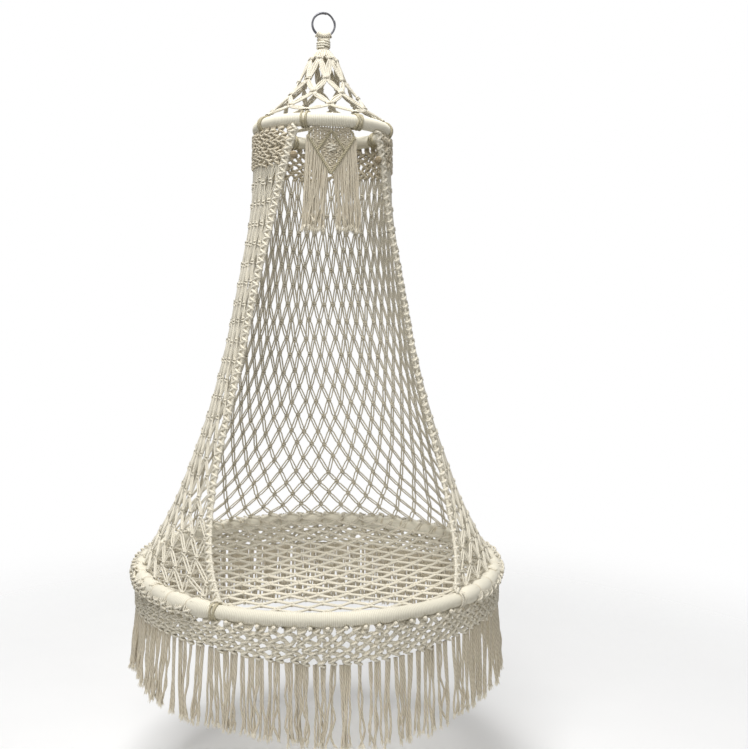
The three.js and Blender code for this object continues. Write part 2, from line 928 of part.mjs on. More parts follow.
// A braid runs from the upper hoop's winding to its foot lashing, and is saddled on both
function edgeBraid(side) {
  const steps = 2 * braidKnots;
  const foot = polar(side * openingHalfAngle, lowerHoopRadius, lowerHoopHeight);
  const points = evenly(0, 1, steps).map((share) => openingEdge(share, side));
  const lead = points[0].clone().sub(points[1]).setLength(wallTop.radius - upperHoopRadius);
  points.unshift(points[0].clone().add(lead));
  points.push(points[steps + 1].clone().lerp(foot, 1 / 2));
  const widthShare = (i) => (i % 2 ? braidWaistShare : 1);
  const braid = tube(points, {
    side: (i) => new THREE.Vector3(-points[i].y, points[i].x, 0).normalize(),
    halfWidth: (i) => (braidHalfWidth * widthShare(i)) / Math.cos(Math.PI / braidSides),
    halfThickness: (i) => braidHalfThickness * widthShare(i),
    sides: braidSides,
  });
  return cut(cut(braid, hoopSeat()), footSeat(side));
}

function hoopSeat() {
  const radius = windingRadius + seatGap / hoopFlatShare;
  const azimuths = upperHoopAzimuths().slice(0, -1);
  return loft(azimuths.map((azimuth) => hoopSection(azimuth, upperHoop, radius)), true);
}

function footSeat(side) {
  const radius = lashingRadius + seatGap / hoopFlatShare;
  const reach = angleOver(braidHalfWidth + cutOverrun, lowerHoopRadius);
  const middle = side * openingHalfAngle;
  return loft(
    [middle - reach, middle + reach].map((azimuth) => hoopSection(azimuth, lowerHoop, radius)),
  );
}

function cornerKnot(side) {
  const height = wallTop.height - cornerKnotDrop;
  const share = wallShareAt(height);
  const { x: radius } = wallCurve.getPointAt(share);
  const clearance = braidHalfWidth + seatGap + cornerKnotRadius * Math.cos(Math.PI / cornerKnotSides);
  const inset = angleOver(clearance * slantFactor(share, side), radius);
  const place = polar(edgeAzimuthAt(height, side) - side * inset, radius, height);
  const ball = new THREE.SphereGeometry(cornerKnotRadius, cornerKnotSides, cornerKnotSides - 2);
  return ball.rotateX(Math.PI / 2).translate(place.x, place.y, place.z);
}

// Skirt fringe: strands fused to a slice of the band that carries them

function strand(top, bottom, radius, sides) {
  const ring = (centre) =>
    Array.from({ length: sides }, (_, k) => {
      const turn = (-2 * Math.PI * k) / sides;
      return new THREE.Vector3(
        centre.x + radius * Math.cos(turn),
        centre.y + radius * Math.sin(turn),
        centre.z,
      );
    });
  return loft([ring(top), ring(bottom)]);
}

function fringeQuarter(index) {
  const span = 90 - angleOver(fringeEndGap, skirtRadius);
  const start = 90 * index - span / 2;
  const topAt = (azimuth) => skirtTop - skirtDepthAt(azimuth) - seatGap;
  const backing = loft(
    evenly(start, start + span, fringeBackingSteps).map((azimuth) =>
      [
        [fringeBackingThickness / 2, 0],
        [fringeBackingThickness / 2, fringeBackingHeight],
        [-fringeBackingThickness / 2, fringeBackingHeight],
        [-fringeBackingThickness / 2, 0],
      ].map(([out, drop]) => polar(azimuth, skirtRadius + out, topAt(azimuth) - drop)),
    ),
  );
  const strands = Array.from({ length: fringeStrands }, (_, i) => {
    const azimuth = start + (span * (i + 1 / 2)) / fringeStrands;
    const wave = Math.sin(5 * i + index);
    const top = topAt(azimuth);
    const bottom = top - fringeLength + (fringeLengthSpread * wave) / 2;
    return strand(
      polar(azimuth, skirtRadius, top - fringeBackingHeight / 2),
      polar(azimuth, skirtRadius + fringeFlare, bottom),
      fringeStrandRadius,
      fringeStrandSides,
    );
  });
  return join([backing, ...strands]);
}

// Front ornament. It is made flat round its hinge line and then set under the upper hoop.

const ornamentHinge = {
  y: -(upperHoopRadius - ornamentSetback),
  z: upperHoopHeight - windingFlat - seatGap - ornamentThickness / 2,
};

// A point of a V arm, from the shoulder to the tip
function ornamentArm(side, share) {
  const inset = ornamentHalfWidth - ornamentRidgeInset;
  const height = -THREE.MathUtils.lerp(ornamentShoulderDrop, ornamentDepth, share);
  return new THREE.Vector3(side * inset * (1 - share), 0, height);
}

function ridge(from, to) {
  return tube([from, to], {
    side: () => new THREE.Vector3(0, 1, 0),
    halfWidth: () => ornamentRidgeRadius,
    halfThickness: () => ornamentRidgeRadius,
    sides: ornamentRidgeSides,
  });
}

function frontOrnament() {
  const outline = new THREE.Shape([
    new THREE.Vector2(-ornamentTopHalfWidth, 0),
    new THREE.Vector2(-ornamentHalfWidth, -ornamentShoulderDrop),
    new THREE.Vector2(0, -ornamentDepth),
    new THREE.Vector2(ornamentHalfWidth, -ornamentShoulderDrop),
    new THREE.Vector2(ornamentTopHalfWidth, 0),
  ]);
  const panel = new THREE.ExtrudeGeometry(outline, {
    depth: ornamentThickness,
    bevelEnabled: false,
  });
  panel.rotateX(Math.PI / 2).translate(0, ornamentThickness / 2, 0);
  const topRoll = new THREE.CylinderGeometry(
    ornamentThickness / 2,
    ornamentThickness / 2,
    2 * ornamentTopHalfWidth,
    ornamentRidgeSides + 2,
  ).rotateZ(Math.PI / 2);
  const middle = new THREE.Vector3(0, 0, -ornamentRidgeRadius);
  const ridges = [-1, 1].flatMap((side) => [
    ridge(ornamentArm(side, 0), ornamentArm(side, 1)),
    ridge(middle, ornamentArm(side, ornamentMeetShare)),
  ]);
  const whole = join([panel, topRoll, ...ridges]);
  return whole.translate(0, ornamentHinge.y, ornamentHinge.z);
}

// The strands that hang from one arm of the V, fused to a slice laid along its underside
function ornamentFringe(side) {
  const fall = new THREE.Vector3(0, 0, -(ornamentRidgeRadius + seatGap + ornamentBackingHeight / 2));
  const along = ornamentArm(side, 1).sub(ornamentArm(side, 0)).normalize();
  const slope = Math.abs(along.x);
  fall.divideScalar(slope);
  const tipShare = 1 - ornamentTipClear / ornamentHalfWidth;
  const slice = ridgeSlice(side, fall, tipShare);
  const strands = evenly(0, tipShare, ornamentStrands - 1).map((share, i) => {
    const top = ornamentArm(side, share).add(fall);
    const splay = (side * ornamentStrandSplay * i) / (ornamentStrands - 1);
    const bottom = new THREE.Vector3(top.x + splay, 0, -ornamentFringeBottom);
    return strand(top, bottom, ornamentStrandRadius, ornamentStrandSides);
  });
  const whole = join([slice, ...strands]);
  return whole.translate(0, ornamentHinge.y, ornamentHinge.z);
}

function ridgeSlice(side, fall, tipShare) {
  const points = [0, tipShare].map((share) => ornamentArm(side, share).add(fall));
  const flatShare = Math.cos(Math.PI / ornamentBackingSides);
  return tube(points, {
    side: () => new THREE.Vector3(0, 1, 0),
    halfWidth: () => ornamentStrandRadius / flatShare,
    halfThickness: () => ornamentBackingHeight / 2 / flatShare,
    sides: ornamentBackingSides,
  });
}

// Materials and assembly

const steel = { color: 0x5c5d63, roughness: 0.35, metalness: 0.9 };
const tubeSteel = { color: 0x8a8c90, roughness: 0.45, metalness: 0.9 };
const cotton = { color: 0xe9e1cd, roughness: 0.95, metalness: 0 };
const shadedCotton = { color: 0xd8cdb2, roughness: 0.95, metalness: 0 };

const chair = new THREE.Group();

function addPiece(name, geometry, finish) {
  geometry.computeVertexNormals();
  const mesh = new THREE.Mesh(geometry, new THREE.MeshStandardMaterial(finish));
  mesh.name = name;
  chair.add(mesh);
}

addPiece("hanging_ring", hangingRing(), steel);
addPiece("cord_loop", cordLoop(), cotton);
addPiece("neck_cords", neck(), cotton);
addPiece("neck_binding", binding(), shadedCotton);
addPiece("crown_net", crownNet(), cotton);
addPiece("upper_hoop", hoopTube(upperHoop, upperHoopAzimuths().slice(0, -1)), tubeSteel);
addPiece("upper_hoop_winding", upperHoopWinding(), cotton);
for (let i = 0; i < lashingCount; i++) {
  const azimuth = (360 * (i + 1 / 2)) / lashingCount;
  addPiece(`upper_lashing_${i + 1}`, lashing(upperHoop, azimuth), shadedCotton);
}
addPiece("upper_band", upperBand(), cotton);
addPiece("body_net", bodyNet(), shadedCotton);
for (const [name, side] of [["left", -1], ["right", 1]]) {
  addPiece(`edge_braid_${name}`, edgeBraid(side), cotton);
  addPiece(`corner_knot_${name}`, cornerKnot(side), shadedCotton);
  addPiece(`braid_foot_lashing_${name}`, lashing(lowerHoop, side * openingHalfAngle), shadedCotton);
  addPiece(`ornament_fringe_${name}`, ornamentFringe(side), cotton);
}
addPiece("front_ornament", frontOrnament(), cotton);
addPiece("lower_hoop", hoopTube(lowerHoop, [...rearArcAzimuths(), ...frontArcAzimuths()]), tubeSteel);
addPiece("lower_hoop_winding_rear", rearWinding(), cotton);
addPiece("lower_hoop_winding_front", frontWinding(), cotton);
addPiece("seat_net", seatNet(), cotton);
addPiece("skirt_band", skirtBand(), cotton);
fringeNames.forEach((name, index) => {
  addPiece(`skirt_fringe_${name}`, fringeQuarter(index), cotton);
});

export default chair;
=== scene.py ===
import json
import math

import bpy
import numpy as np
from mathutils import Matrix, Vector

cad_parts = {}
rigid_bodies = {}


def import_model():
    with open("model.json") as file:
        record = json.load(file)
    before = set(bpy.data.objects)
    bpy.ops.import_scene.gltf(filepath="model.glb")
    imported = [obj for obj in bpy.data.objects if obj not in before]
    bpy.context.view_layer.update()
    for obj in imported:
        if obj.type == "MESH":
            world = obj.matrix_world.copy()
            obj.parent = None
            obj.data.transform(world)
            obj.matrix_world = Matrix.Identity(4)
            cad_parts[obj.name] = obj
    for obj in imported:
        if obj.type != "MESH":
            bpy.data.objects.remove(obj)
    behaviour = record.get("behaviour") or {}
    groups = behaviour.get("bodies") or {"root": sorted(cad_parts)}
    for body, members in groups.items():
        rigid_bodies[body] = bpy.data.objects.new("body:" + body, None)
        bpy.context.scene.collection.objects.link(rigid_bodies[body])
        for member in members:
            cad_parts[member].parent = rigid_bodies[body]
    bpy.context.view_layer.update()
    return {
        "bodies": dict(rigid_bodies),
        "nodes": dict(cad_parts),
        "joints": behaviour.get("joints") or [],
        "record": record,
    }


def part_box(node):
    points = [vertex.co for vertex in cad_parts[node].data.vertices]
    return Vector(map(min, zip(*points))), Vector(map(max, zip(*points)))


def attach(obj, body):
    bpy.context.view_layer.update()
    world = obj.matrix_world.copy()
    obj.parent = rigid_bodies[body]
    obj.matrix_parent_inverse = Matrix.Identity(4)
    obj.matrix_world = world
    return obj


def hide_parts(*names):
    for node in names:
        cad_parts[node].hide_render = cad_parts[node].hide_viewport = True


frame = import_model()
random = np.random.default_rng(11)

# Sizes in metres, in the frame of the CAD part: +Z up, opening towards -Y, origin at the hook
UP, RIGHT, FRONT = np.array([0, 0, 1.0]), np.array([1.0, 0, 0]), np.array([0, -1.0, 0])
CORD_RADIUS, CORD_SHAKE = 0.00175, 0.0003
UPPER_RADIUS, UPPER_HEIGHT = 0.137, -0.250
LOWER_RADIUS, LOWER_HEIGHT = 0.386, -1.190
WINDING_RADIUS = 0.0137
TURN_PITCH, TURN_DEPTH = 0.0034, 0.0009
# Share of the depth at each quarter of a turn
TURN_SHAPE = np.array([1.0, 0.134, 0.0, 0.134])
BEAD_RISE, BEAD_DIP, BEAD_POWER = 0.0040, 0.0032, 0.42
LASHINGS, LASHING_REACH, LANDING_REACH = 8, 0.0158, WINDING_RADIUS - 0.0016
# Count, cord radius, pitch and tilt of the turns in a lashing and in a loop where the net lands
LASHING_TURNS = (4, CORD_RADIUS, 0.0036, 0.16)
LANDING_TURNS = (2, CORD_RADIUS, 0.0040, 0.1)

# Ring, loop and neck
RING_WIRE_RADIUS = 0.0021
RING_RADIUS = 0.0242
RING_CENTRE = -0.0226
RING_PITCH = 0.0037
RING_END, RING_JOG = 40, 50
RING_STEPS, RING_TIP = 64, 0.0002
LOOP_REACH, LOOP_CORD = 0.00595, 0.00178
LOOP_HALF_ANGLE, LOOP_CORDS = 33, 9
CRADLE_HEIGHT = -0.0468
NECK_RADIUS, NECK_BOTTOM = 0.0105, -0.0755
CRADLE_RADIUS = 0.0100
# Depth and count of the neck's layers of cords, half their width at the top, and the round they fill below
NECK_LAYERS = ((0.0078, 8), (0.0046, 9), (0.0015, 9))
NECK_HALF, NECK_ROUND = 0.0120, 0.0150
BINDING_TOP = -0.0582
BINDING_RADIUS, BINDING_PITCH, BINDING_TURNS, BINDING_GAP = 0.0022, 0.0049, 3, 0.0003

# Wall of the chair: radius against height, as shares from the upper hoop to the lower one
WALL_TOP = (0.146, -0.26647)
WALL_LANDING = (0.381, -1.17277)
WALL_FLARE = [
    (0, 0), (0.12, 0.01), (0.2, 0.04), (0.3, 0.108), (0.4, 0.182), (0.5, 0.26),
    (0.64, 0.4), (0.76, 0.56), (0.86, 0.71), (0.935, 0.86), (1, 1),
]
OPENING_HALF_ANGLE, OPENING_WIDEST, OPENING_POWER = 37, 62, 2.6
OPENING_TURN = 6.72

# Nets
NET_COLUMNS, NET_ROWS = 34, 22
NET_MARGIN = 0.0085
BAND_ROWS = 8
BAND_FIRST, BAND_PITCH = -0.2715, 0.0082
BAND_OFFSETS, BAND_TUCK = (-0.0052, -0.0017, 0.0017, 0.0052), 0.006
BAND_SHAKE, NET_SHAKE, SEAT_SHAKE = 0.0016, 0.0015, 0.0009
# Where the two cords of a pair leave a knot, from its middle, and half the height of the knot there
PAIR, NET_PAIR = (0.0009, 0.0030), (0.0008, 0.0042)
KNOT_HALF, BAND_KNOT_HALF, SKIRT_KNOT_HALF = 0.0042, 0.003, 0.0022
# Shares of a cord's start and end at its two bends
BENDS = ((0.82, 0.18), (0.18, 0.82))
SEAT_WIDTH, SEAT_DEPTH, SEAT_SAG = 0.059, 0.061, 0.014
SEAT_RADIUS, SEAT_CORD, SEAT_BOW = 0.371, 0.0020, 0.0018
# Rise of the seat's back edge, its knots' gap to the rim, its cords' gap to the hoop's line where they bend,
# and the distance between the two cords of a pair there, in cord radii
SEAT_LIFT, SEAT_RIM, SEAT_CLEAR, SEAT_SPREAD = 0.009, 0.008, 0.016, 2.8
# How a seat cord ends round the hoop: out from the tube's centre line, and up from it
SEAT_ENDS_FRONT = [(-0.0152, -0.003), (-0.004, -0.0158), (0.0105, -0.0120)]
SEAT_ENDS_REAR = [(-0.0152, 0.009), (-0.004, 0.0158), (0.0105, 0.0120)]
# How far a pair of the net bows apart, as a share of the mesh's width
NET_BOW_SHARE = 0.045

# Crown
CROWN_TOP = (0.0105, -0.07855)
CROWN_LANDING = (0.137, -0.2315)
CROWN_FLARE = [(0, 0), (0.14, 0.15), (0.42, 0.31), (0.67, 0.53), (0.89, 0.8), (1, 1)]
CROWN_ROWS = [0.14, 0.4, 0.61, 0.83, 0.985]
CROWN_COLUMNS, CROWN_CORDS, CROWN_PITCH = 8, 4, 0.0027
CROWN_LAYERS, TIE_REACH = (-0.0014, 0.0012), 0.006
# A bundle's cords: off its middle layer, apart halfway, and drawn together at its ends
BUNDLE_LAYER, BUNDLE_SPREAD, BUNDLE_GATHER = 0.0005, 0.0034, 0.62
# Radius, and height from the neck's bottom, of the cords as they leave the neck
CROWN_THROAT = ((0.0085, 0.004), (0.0105, -0.002))
# Ties round the crown's bundles: half width, half depth, cord radius, steps and sides
CROWN_TIE, TIE_RISE, TIE_LEAN = (0.0080, 0.0034, 0.0014, 16, 6), 0.0014, 0.12

# Skirt
SKIRT_RADIUS = 0.394
SKIRT_COLUMNS = 104
SKIRT_TOP = -1.2065
SKIRT_DEPTH, SKIRT_FRONT_DEPTH = 0.050, 0.067
SKIRT_FRONT_ANGLE = 45
SKIRT_ROWS = 6
SKIRT_CORD, SKIRT_BOW = 0.0024, 0.0008
SKIRT_SHAKE_ACROSS, SKIRT_SHAKE_UP = 0.0024, 0.0019
# Rows over the hoop: angle above the outermost line of the tube, and how far from the front they start
COVER_ROWS = [(36, 78), (4, 66), (-26, 42)]
COVER_OFFSETS = (-0.0052, -0.0018, 0.0018, 0.0052)
COVER_BEND_RISE, COVER_END_RISE, COVER_END_LIFT = 18, 40, -0.0050
SKIRT_TOP_OFFSETS = (-0.0080, -0.0048, -0.0016, 0.0016, 0.0048, 0.0080)
FRINGE_BUNDLES = 148
FRINGE_LEAN, FRINGE_SWAY = 0.0042, 0.003
FRINGE_OFFSETS = (-0.0054, -0.0018, 0.0018, 0.0054)
FRINGE_OUTER_SHARE = 0.5
FRINGE_FLARE = 0.008
FRINGE_DOUBLE_ANGLE, FRINGE_INSET = 110, 0.004
# How far the fringe's ends hang below the lower hoop, against azimuth
FRINGE_ENDS = [
    (-180, 0.218), (-120, 0.205), (-100, 0.185), (-84, 0.190), (-66, 0.200), (-48, 0.214), (-24, 0.213),
    (-12, 0.228), (8, 0.236), (22, 0.236), (36, 0.221), (60, 0.218), (180, 0.218),
]
BERRY_PITCH, BERRY_EDGE, BERRY_REACH, BERRY_CORD = 4.6, 4, 0.0030, 0.0015
BERRY_OUT, BERRY_DROP = 0.0145, 0.0120

# Braids and knots beside the opening
BRAID_HALF_WIDTH, BRAID_HALF_DEPTH = 0.0082, 0.0036
BRAID_CORD, BRAID_LUMP = 0.0031, 0.0006
BRAID_STRANDS = (-0.72, -0.24, 0.24, 0.72)
BRAID_PITCH, BRAID_TILT = 0.0082, 32
CORNER_KNOT_RADIUS, CORNER_KNOT_SHIFTS = 0.0080, (-0.0030, 0.0, 0.0030)

# Front ornament, round its hinge under the upper hoop
HINGE = (-0.134, -0.26471)
ORNAMENT_TOP_HALF, ORNAMENT_HALF = 0.039, 0.0505
ORNAMENT_SHOULDER, ORNAMENT_DEPTH = 0.015, 0.092
ORNAMENT_MEET = 0.42
ORNAMENT_FRINGE_BOTTOM = 0.209
# Radius, pitch and cord radius of the ridges along the arms, inside them and at the corners
ARM_RIDGE, INNER_RIDGE = (0.0025, 0.0038, 0.0017), (0.0024, 0.0038, 0.0017)
CORNER_RIDGE = (0.0016, 0.0032, 0.0012)
ORNAMENT_ROWS, ORNAMENT_FIRST, ORNAMENT_ROW_PITCH, ORNAMENT_PITCH = 10, 0.0045, 0.0085, 0.0105
# Turns of the knot in the middle: level, half width and slope
CENTRE_DROP = 0.040
CENTRE_TURNS = [
    (-0.0055, 0.0060, 0.3), (-0.0020, 0.0092, -0.2), (0.0020, 0.0092, 0.3), (0.0055, 0.0060, -0.2),
]
# Depth and count of the layers of a tuft
TUFT_LAYERS = ((-0.0012, 15), (0.0014, 14))
# Loose cords: radius, wave and steps
TUFT_HANG, FRINGE_HANG = (0.0016, 0.0026, 12), (0.0021, 0.0040, 13)
# Turns of a wave along a cord, and its shares beside the cord and to the front
WAVE_TURNS, WAVE_BESIDE, WAVE_FRONT = (1.0, 2.3), 0.6, 0.4
# Frayed ends: fibres of a cord, how far they spread, their shortest length, and their radius along them
FRAY_FIBRES, FRAY_SPREAD, FRAY_LENGTH = 9, 0.34, 0.005
FRAY_RADIUS = np.array([[0.0007, 0.0006, 0.0002]])

# Knots of two turns: half width, half depth, half height, cord radius, then tilt, steps and sides
BAND_KNOT = (0.0066, 0.0036, 0.0022, 0.0025, 26)
NET_KNOT = (0.0050, 0.0028, 0.0021, CORD_RADIUS)
SEAT_KNOT = (0.0048, 0.0028, 0.0019, SEAT_CORD)
SKIRT_KNOT = (0.0072, 0.0036, 0.0023, SKIRT_CORD, 24)
ORNAMENT_KNOT = (0.0044, 0.0017, 0.0019, 0.0013, 24, 12, 6)

# Camera, fitted to the photograph, and lamps: name, place, size and power
CAMERA_PLACE = (-0.255, -1.935, -0.6295)
CAMERA_TURN, CAMERA_DIP, CAMERA_ROLL = 10.9, 4.2, 0.7
CAMERA_LENS, CAMERA_SENSOR = 42.64, 36
LAMPS = [
    ("key", (-0.5, -0.8, 2.6), 1.4, 122),
    ("front", (-0.8, -2.4, 1.3), 1.6, 38),
    ("side", (2.4, -0.9, 0.6), 1.8, 10),
    ("back", (-1.2, 2.2, 1.0), 1.8, 16),
]
LAMP_AIM = np.array([0, 0, -0.75])
SOFT_LIGHT, SOFT_STRENGTH = (1.0, 0.99, 0.97, 1), 0.2
FLOOR_HEIGHT = -1.72
FLOOR_SOLID, FLOOR_END = 0.7, 2.4
CORD_MAP = "cord"


def camera_and_light():
    scene = bpy.context.scene
    camera = bpy.data.objects.new("camera", bpy.data.cameras.new("camera"))
    camera.data.lens, camera.data.sensor_width = CAMERA_LENS, CAMERA_SENSOR
    camera.data.sensor_fit = "HORIZONTAL"
    camera.location = CAMERA_PLACE
    camera.rotation_euler = [math.radians(a) for a in (90 - CAMERA_DIP, -CAMERA_ROLL, -CAMERA_TURN)]
    scene.collection.objects.link(camera)
    scene.camera = camera
    scene.view_settings.view_transform = "Standard"
    for name, place, size, power in LAMPS:
        light = bpy.data.lights.new(name, "AREA")
        light.energy, light.size = power, size
        lamp = bpy.data.objects.new(name, light)
        lamp.location = place
        aim = LAMP_AIM - np.array(place)
        lamp.rotation_euler = (
            math.atan2(math.hypot(aim[0], aim[1]), -aim[2]), 0, math.atan2(aim[1], aim[0]) - math.pi / 2
        )
        scene.collection.objects.link(lamp)


def white_world():
    """White where the camera, a gloss or glass sees it, and a softer light everywhere else."""
    world = bpy.data.worlds.new("world")
    bpy.context.scene.world = world
    world.use_nodes = True
    nodes, links = world.node_tree.nodes, world.node_tree.links
    nodes.clear()
    rays = nodes.new("ShaderNodeLightPath").outputs
    seen = rays["Is Camera Ray"]
    for ray in ("Is Glossy Ray", "Is Transmission Ray"):
        either = nodes.new("ShaderNodeMath")
        either.operation, either.use_clamp = "ADD", True
        links.new(seen, either.inputs[0])
        links.new(rays[ray], either.inputs[1])
        seen = either.outputs[0]
    mix, out = nodes.new("ShaderNodeMixShader"), nodes.new("ShaderNodeOutputWorld")
    links.new(seen, mix.inputs["Fac"])
    for place, colour, strength in ((1, SOFT_LIGHT, SOFT_STRENGTH), (2, (1, 1, 1, 1), 1)):
        light = nodes.new("ShaderNodeBackground")
        light.inputs["Color"].default_value, light.inputs["Strength"].default_value = colour, strength
        links.new(light.outputs[0], mix.inputs[place])
    links.new(mix.outputs[0], out.inputs["Surface"])


# Materials

class Shader:
    """A material's node tree, with short ways to add and join nodes."""

    def __init__(self, name):
        self.material = bpy.data.materials.new(name)
        self.material.use_nodes = True
        self.nodes = self.material.node_tree.nodes
        self.links = self.material.node_tree.links
        self.surface = self.nodes["Principled BSDF"]

    def fill(self, node, values):
        for name, value in values.items():
            self.join(value, node.inputs[name.replace("_", " ")])

    def set(self, **values):
        self.fill(self.surface, values)

    def node(self, kind, **values):
        made = self.nodes.new("ShaderNode" + kind)
        self.fill(made, values)
        return made

    def join(self, value, socket):
        if hasattr(value, "is_output"):
            self.links.new(value, socket)
        else:
            socket.default_value = value

    def math(self, operation, *values):
        node = self.node("Math")
        node.operation = operation
        for value, socket in zip(values, node.inputs):
            self.join(value, socket)
        return node.outputs[0]

    def noise(self, scale, detail=2.0, stretch=None):
        place = self.node("TexCoord").outputs["Object"]
        if stretch:
            place = self.node("Mapping", Vector=place, Scale=stretch).outputs["Vector"]
        return self.node("TexNoise", Vector=place, Scale=scale, Detail=detail).outputs["Fac"]

    def ramp(self, value, *stops):
        node = self.node("ValToRGB", Fac=value)
        elements = node.color_ramp.elements
        while len(elements) < len(stops):
            elements.new(0.5)
        for element, (place, colour) in zip(elements, stops):
            element.position, element.color = place, (*colour, 1)
        return node.outputs["Color"]

    def tint(self, colour, value, low, high):
        """The colour made darker and lighter as the value goes from 0 to 1."""
        node = self.node("Mix")
        node.data_type, node.blend_type = "RGBA", "MULTIPLY"
        node.inputs[0].default_value = 1
        self.links.new(colour, node.inputs[6])
        self.links.new(self.ramp(value, (0.3, (low,) * 3), (0.7, (high,) * 3)), node.inputs[7])
        return node.outputs[2]

    def bump(self, height, distance):
        self.set(Normal=self.node("Bump", Distance=distance, Height=height).outputs["Normal"])


def cotton(name, light, shade, strands=3, pitch=0.0045, depth=0.0005):
    """Twisted cotton cord: strands that wind round it with painted shade in the grooves between them, fine
    fibres and soft patches of tone.
    """
    shader = Shader(name)
    place = shader.node("UVMap")
    place.uv_map = CORD_MAP
    split = shader.node("SeparateXYZ", Vector=place.outputs["UV"])
    along = shader.math("MULTIPLY", split.outputs["X"], 1 / pitch)
    round_it = shader.math("MULTIPLY", split.outputs["Y"], float(strands))
    phase = shader.math("MULTIPLY", shader.math("ADD", along, round_it), math.pi)
    crest = shader.math("ABSOLUTE", shader.math("SINE", phase))
    fibres = shader.noise(1400, 3.0)
    patches = shader.noise(7, 3.0)
    # Painted shade: the ramp darkens the grooves between strands or turns, and the crests keep the lit
    # colour
    base = shader.ramp(crest, (0.0, shade), (0.55, light))
    base = shader.tint(base, fibres, 0.86, 1.06)
    base = shader.tint(base, patches, 0.93, 1.04)
    height = shader.math("ADD", crest, shader.math("MULTIPLY", fibres, 0.5))
    shader.bump(height, depth)
    shader.set(Base_Color=base, Roughness=0.95, Specular_IOR_Level=0.2)
    shader.set(Sheen_Weight=0.2, Sheen_Roughness=0.6)
    return shader.material


def steel(name, colour, roughness):
    """Drawn steel wire or tube: faint draw lines, small scratches and dull patches."""
    shader = Shader(name)
    scratches = shader.noise(700, 4.0, (1, 1, 6))
    patches = shader.noise(60, 3.0)
    base = shader.ramp(patches, (0.35, tuple(0.75 * c for c in colour)), (0.65, colour))
    base = shader.tint(base, scratches, 0.85, 1.1)
    rough = shader.math("ADD", shader.math("MULTIPLY", patches, 0.25), roughness)
    shader.bump(scratches, 0.0001)
    shader.set(Base_Color=base, Roughness=rough, Metallic=1.0)
    return shader.material


def floor_paint():
    """White paint that fades away far from the chair, so the floor runs into the white behind it."""
    shader = Shader("floor_paint")
    base = shader.ramp(shader.noise(3, 2.0), (0.3, (0.93, 0.93, 0.93)), (0.7, (0.95, 0.95, 0.95)))
    reach = shader.node("VectorMath")
    reach.operation = "LENGTH"
    shader.links.new(shader.node("TexCoord").outputs["Object"], reach.inputs[0])
    fade = shader.node("MapRange", From_Min=FLOOR_SOLID, From_Max=FLOOR_END, To_Min=1, To_Max=0)
    fade.interpolation_type = "SMOOTHSTEP"
    shader.links.new(reach.outputs["Value"], fade.inputs["Value"])
    shader.set(Base_Color=base, Roughness=0.9, Alpha=fade.outputs["Result"])
    return shader.material


# Cords as tubes

def unit(vectors):
    return vectors / np.maximum(np.linalg.norm(vectors, axis=-1, keepdims=True), 1e-12)


def square_to(vectors, axis):
    """The directions of the vectors' parts at right angles to an axis."""
    return unit(vectors - (vectors * axis).sum(-1, keepdims=True) * axis)


class Strands:
    """Tubes gathered into one mesh. Its UVs give the length along a cord and the turn round it."""

    def __init__(self):
        self.points, self.quads, self.maps, self.total = [], [], [], 0

    def add(self, paths, out, radius, sides=6, closed=False, flat=1.0):
        paths = np.asarray(paths, float)
        if closed:
            ahead, behind = np.roll(paths, -1, 1), np.roll(paths, 1, 1)
        else:
            ahead = np.concatenate([paths[:, 1:], paths[:, -1:]], 1)
            behind = np.concatenate([paths[:, :1], paths[:, :-1]], 1)
        along = unit(ahead - behind)
        out = np.broadcast_to(out, paths.shape)
        first = square_to(out, along)
        second = np.cross(along, first)
        count, steps, _ = paths.shape
        reach = np.broadcast_to(radius, (count, steps))[..., None, None]
        turn = 2 * np.pi * np.arange(sides) / sides
        ring = np.cos(turn)[:, None] * first[:, :, None, :]
        ring = ring + flat * np.sin(turn)[:, None] * second[:, :, None, :]
        points = paths[:, :, None, :] + reach * ring
        index = self.total + np.arange(count * steps * sides).reshape(count, steps, sides)
        step = np.linalg.norm(ahead - paths, axis=-1)
        length = np.concatenate([np.zeros((count, 1)), np.cumsum(step, 1)], 1)
        length = length + random.random((count, 1))
        here, there = (index, np.roll(index, -1, 1)) if closed else (index[:, :-1], index[:, 1:])
        spans = here.shape[1]
        quads = np.stack([here, np.roll(here, -1, 2), np.roll(there, -1, 2), there], -1)
        low = np.broadcast_to(length[:, :spans, None], here.shape)
        high = np.broadcast_to(length[:, 1:spans + 1, None], here.shape)
        left = np.broadcast_to(np.arange(sides) / sides, here.shape)
        right = left + 1 / sides
        maps = np.stack([low, left, low, right, high, right, high, left], -1)
        self.points.append(points.reshape(-1, 3))
        self.quads.append(quads.reshape(-1, 4))
        self.maps.append(maps.reshape(-1, 2))
        self.total += count * steps * sides

    def rings(self, centres, first, second, half_first, half_second, radius, steps=10, sides=5):
        """Closed turns of cord, each an ellipse round a centre."""
        turn = 2 * np.pi * np.arange(steps) / steps
        first, second = unit(np.asarray(first, float)), unit(np.asarray(second, float))
        out = half_first * np.cos(turn)[:, None] * first[:, None, :]
        out = out + half_second * np.sin(turn)[:, None] * second[:, None, :]
        self.add(np.asarray(centres)[:, None, :] + out, out, radius, sides, closed=True)

    def piece(self, name, material, body, slot, *nodes):
        points = np.concatenate(self.points)
        quads = np.concatenate(self.quads)
        mesh = bpy.data.meshes.new(name)
        mesh.vertices.add(len(points))
        mesh.vertices.foreach_set("co", points.ravel())
        mesh.loops.add(quads.size)
        mesh.loops.foreach_set("vertex_index", quads.ravel().astype(np.int32))
        mesh.polygons.add(len(quads))
        mesh.polygons.foreach_set("loop_start", np.arange(0, quads.size, 4, dtype=np.int32))
        mesh.polygons.foreach_set("use_smooth", np.ones(len(quads), dtype=bool))
        mesh.update(calc_edges=True)
        layer = mesh.uv_layers.new(name=CORD_MAP)
        layer.data.foreach_set("uv", np.concatenate(self.maps).ravel())
        mesh.materials.append(material)
        made = bpy.data.objects.new(name, mesh)
        bpy.context.scene.collection.objects.link(made)
        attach(made, body)
        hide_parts(*nodes)


# Surfaces

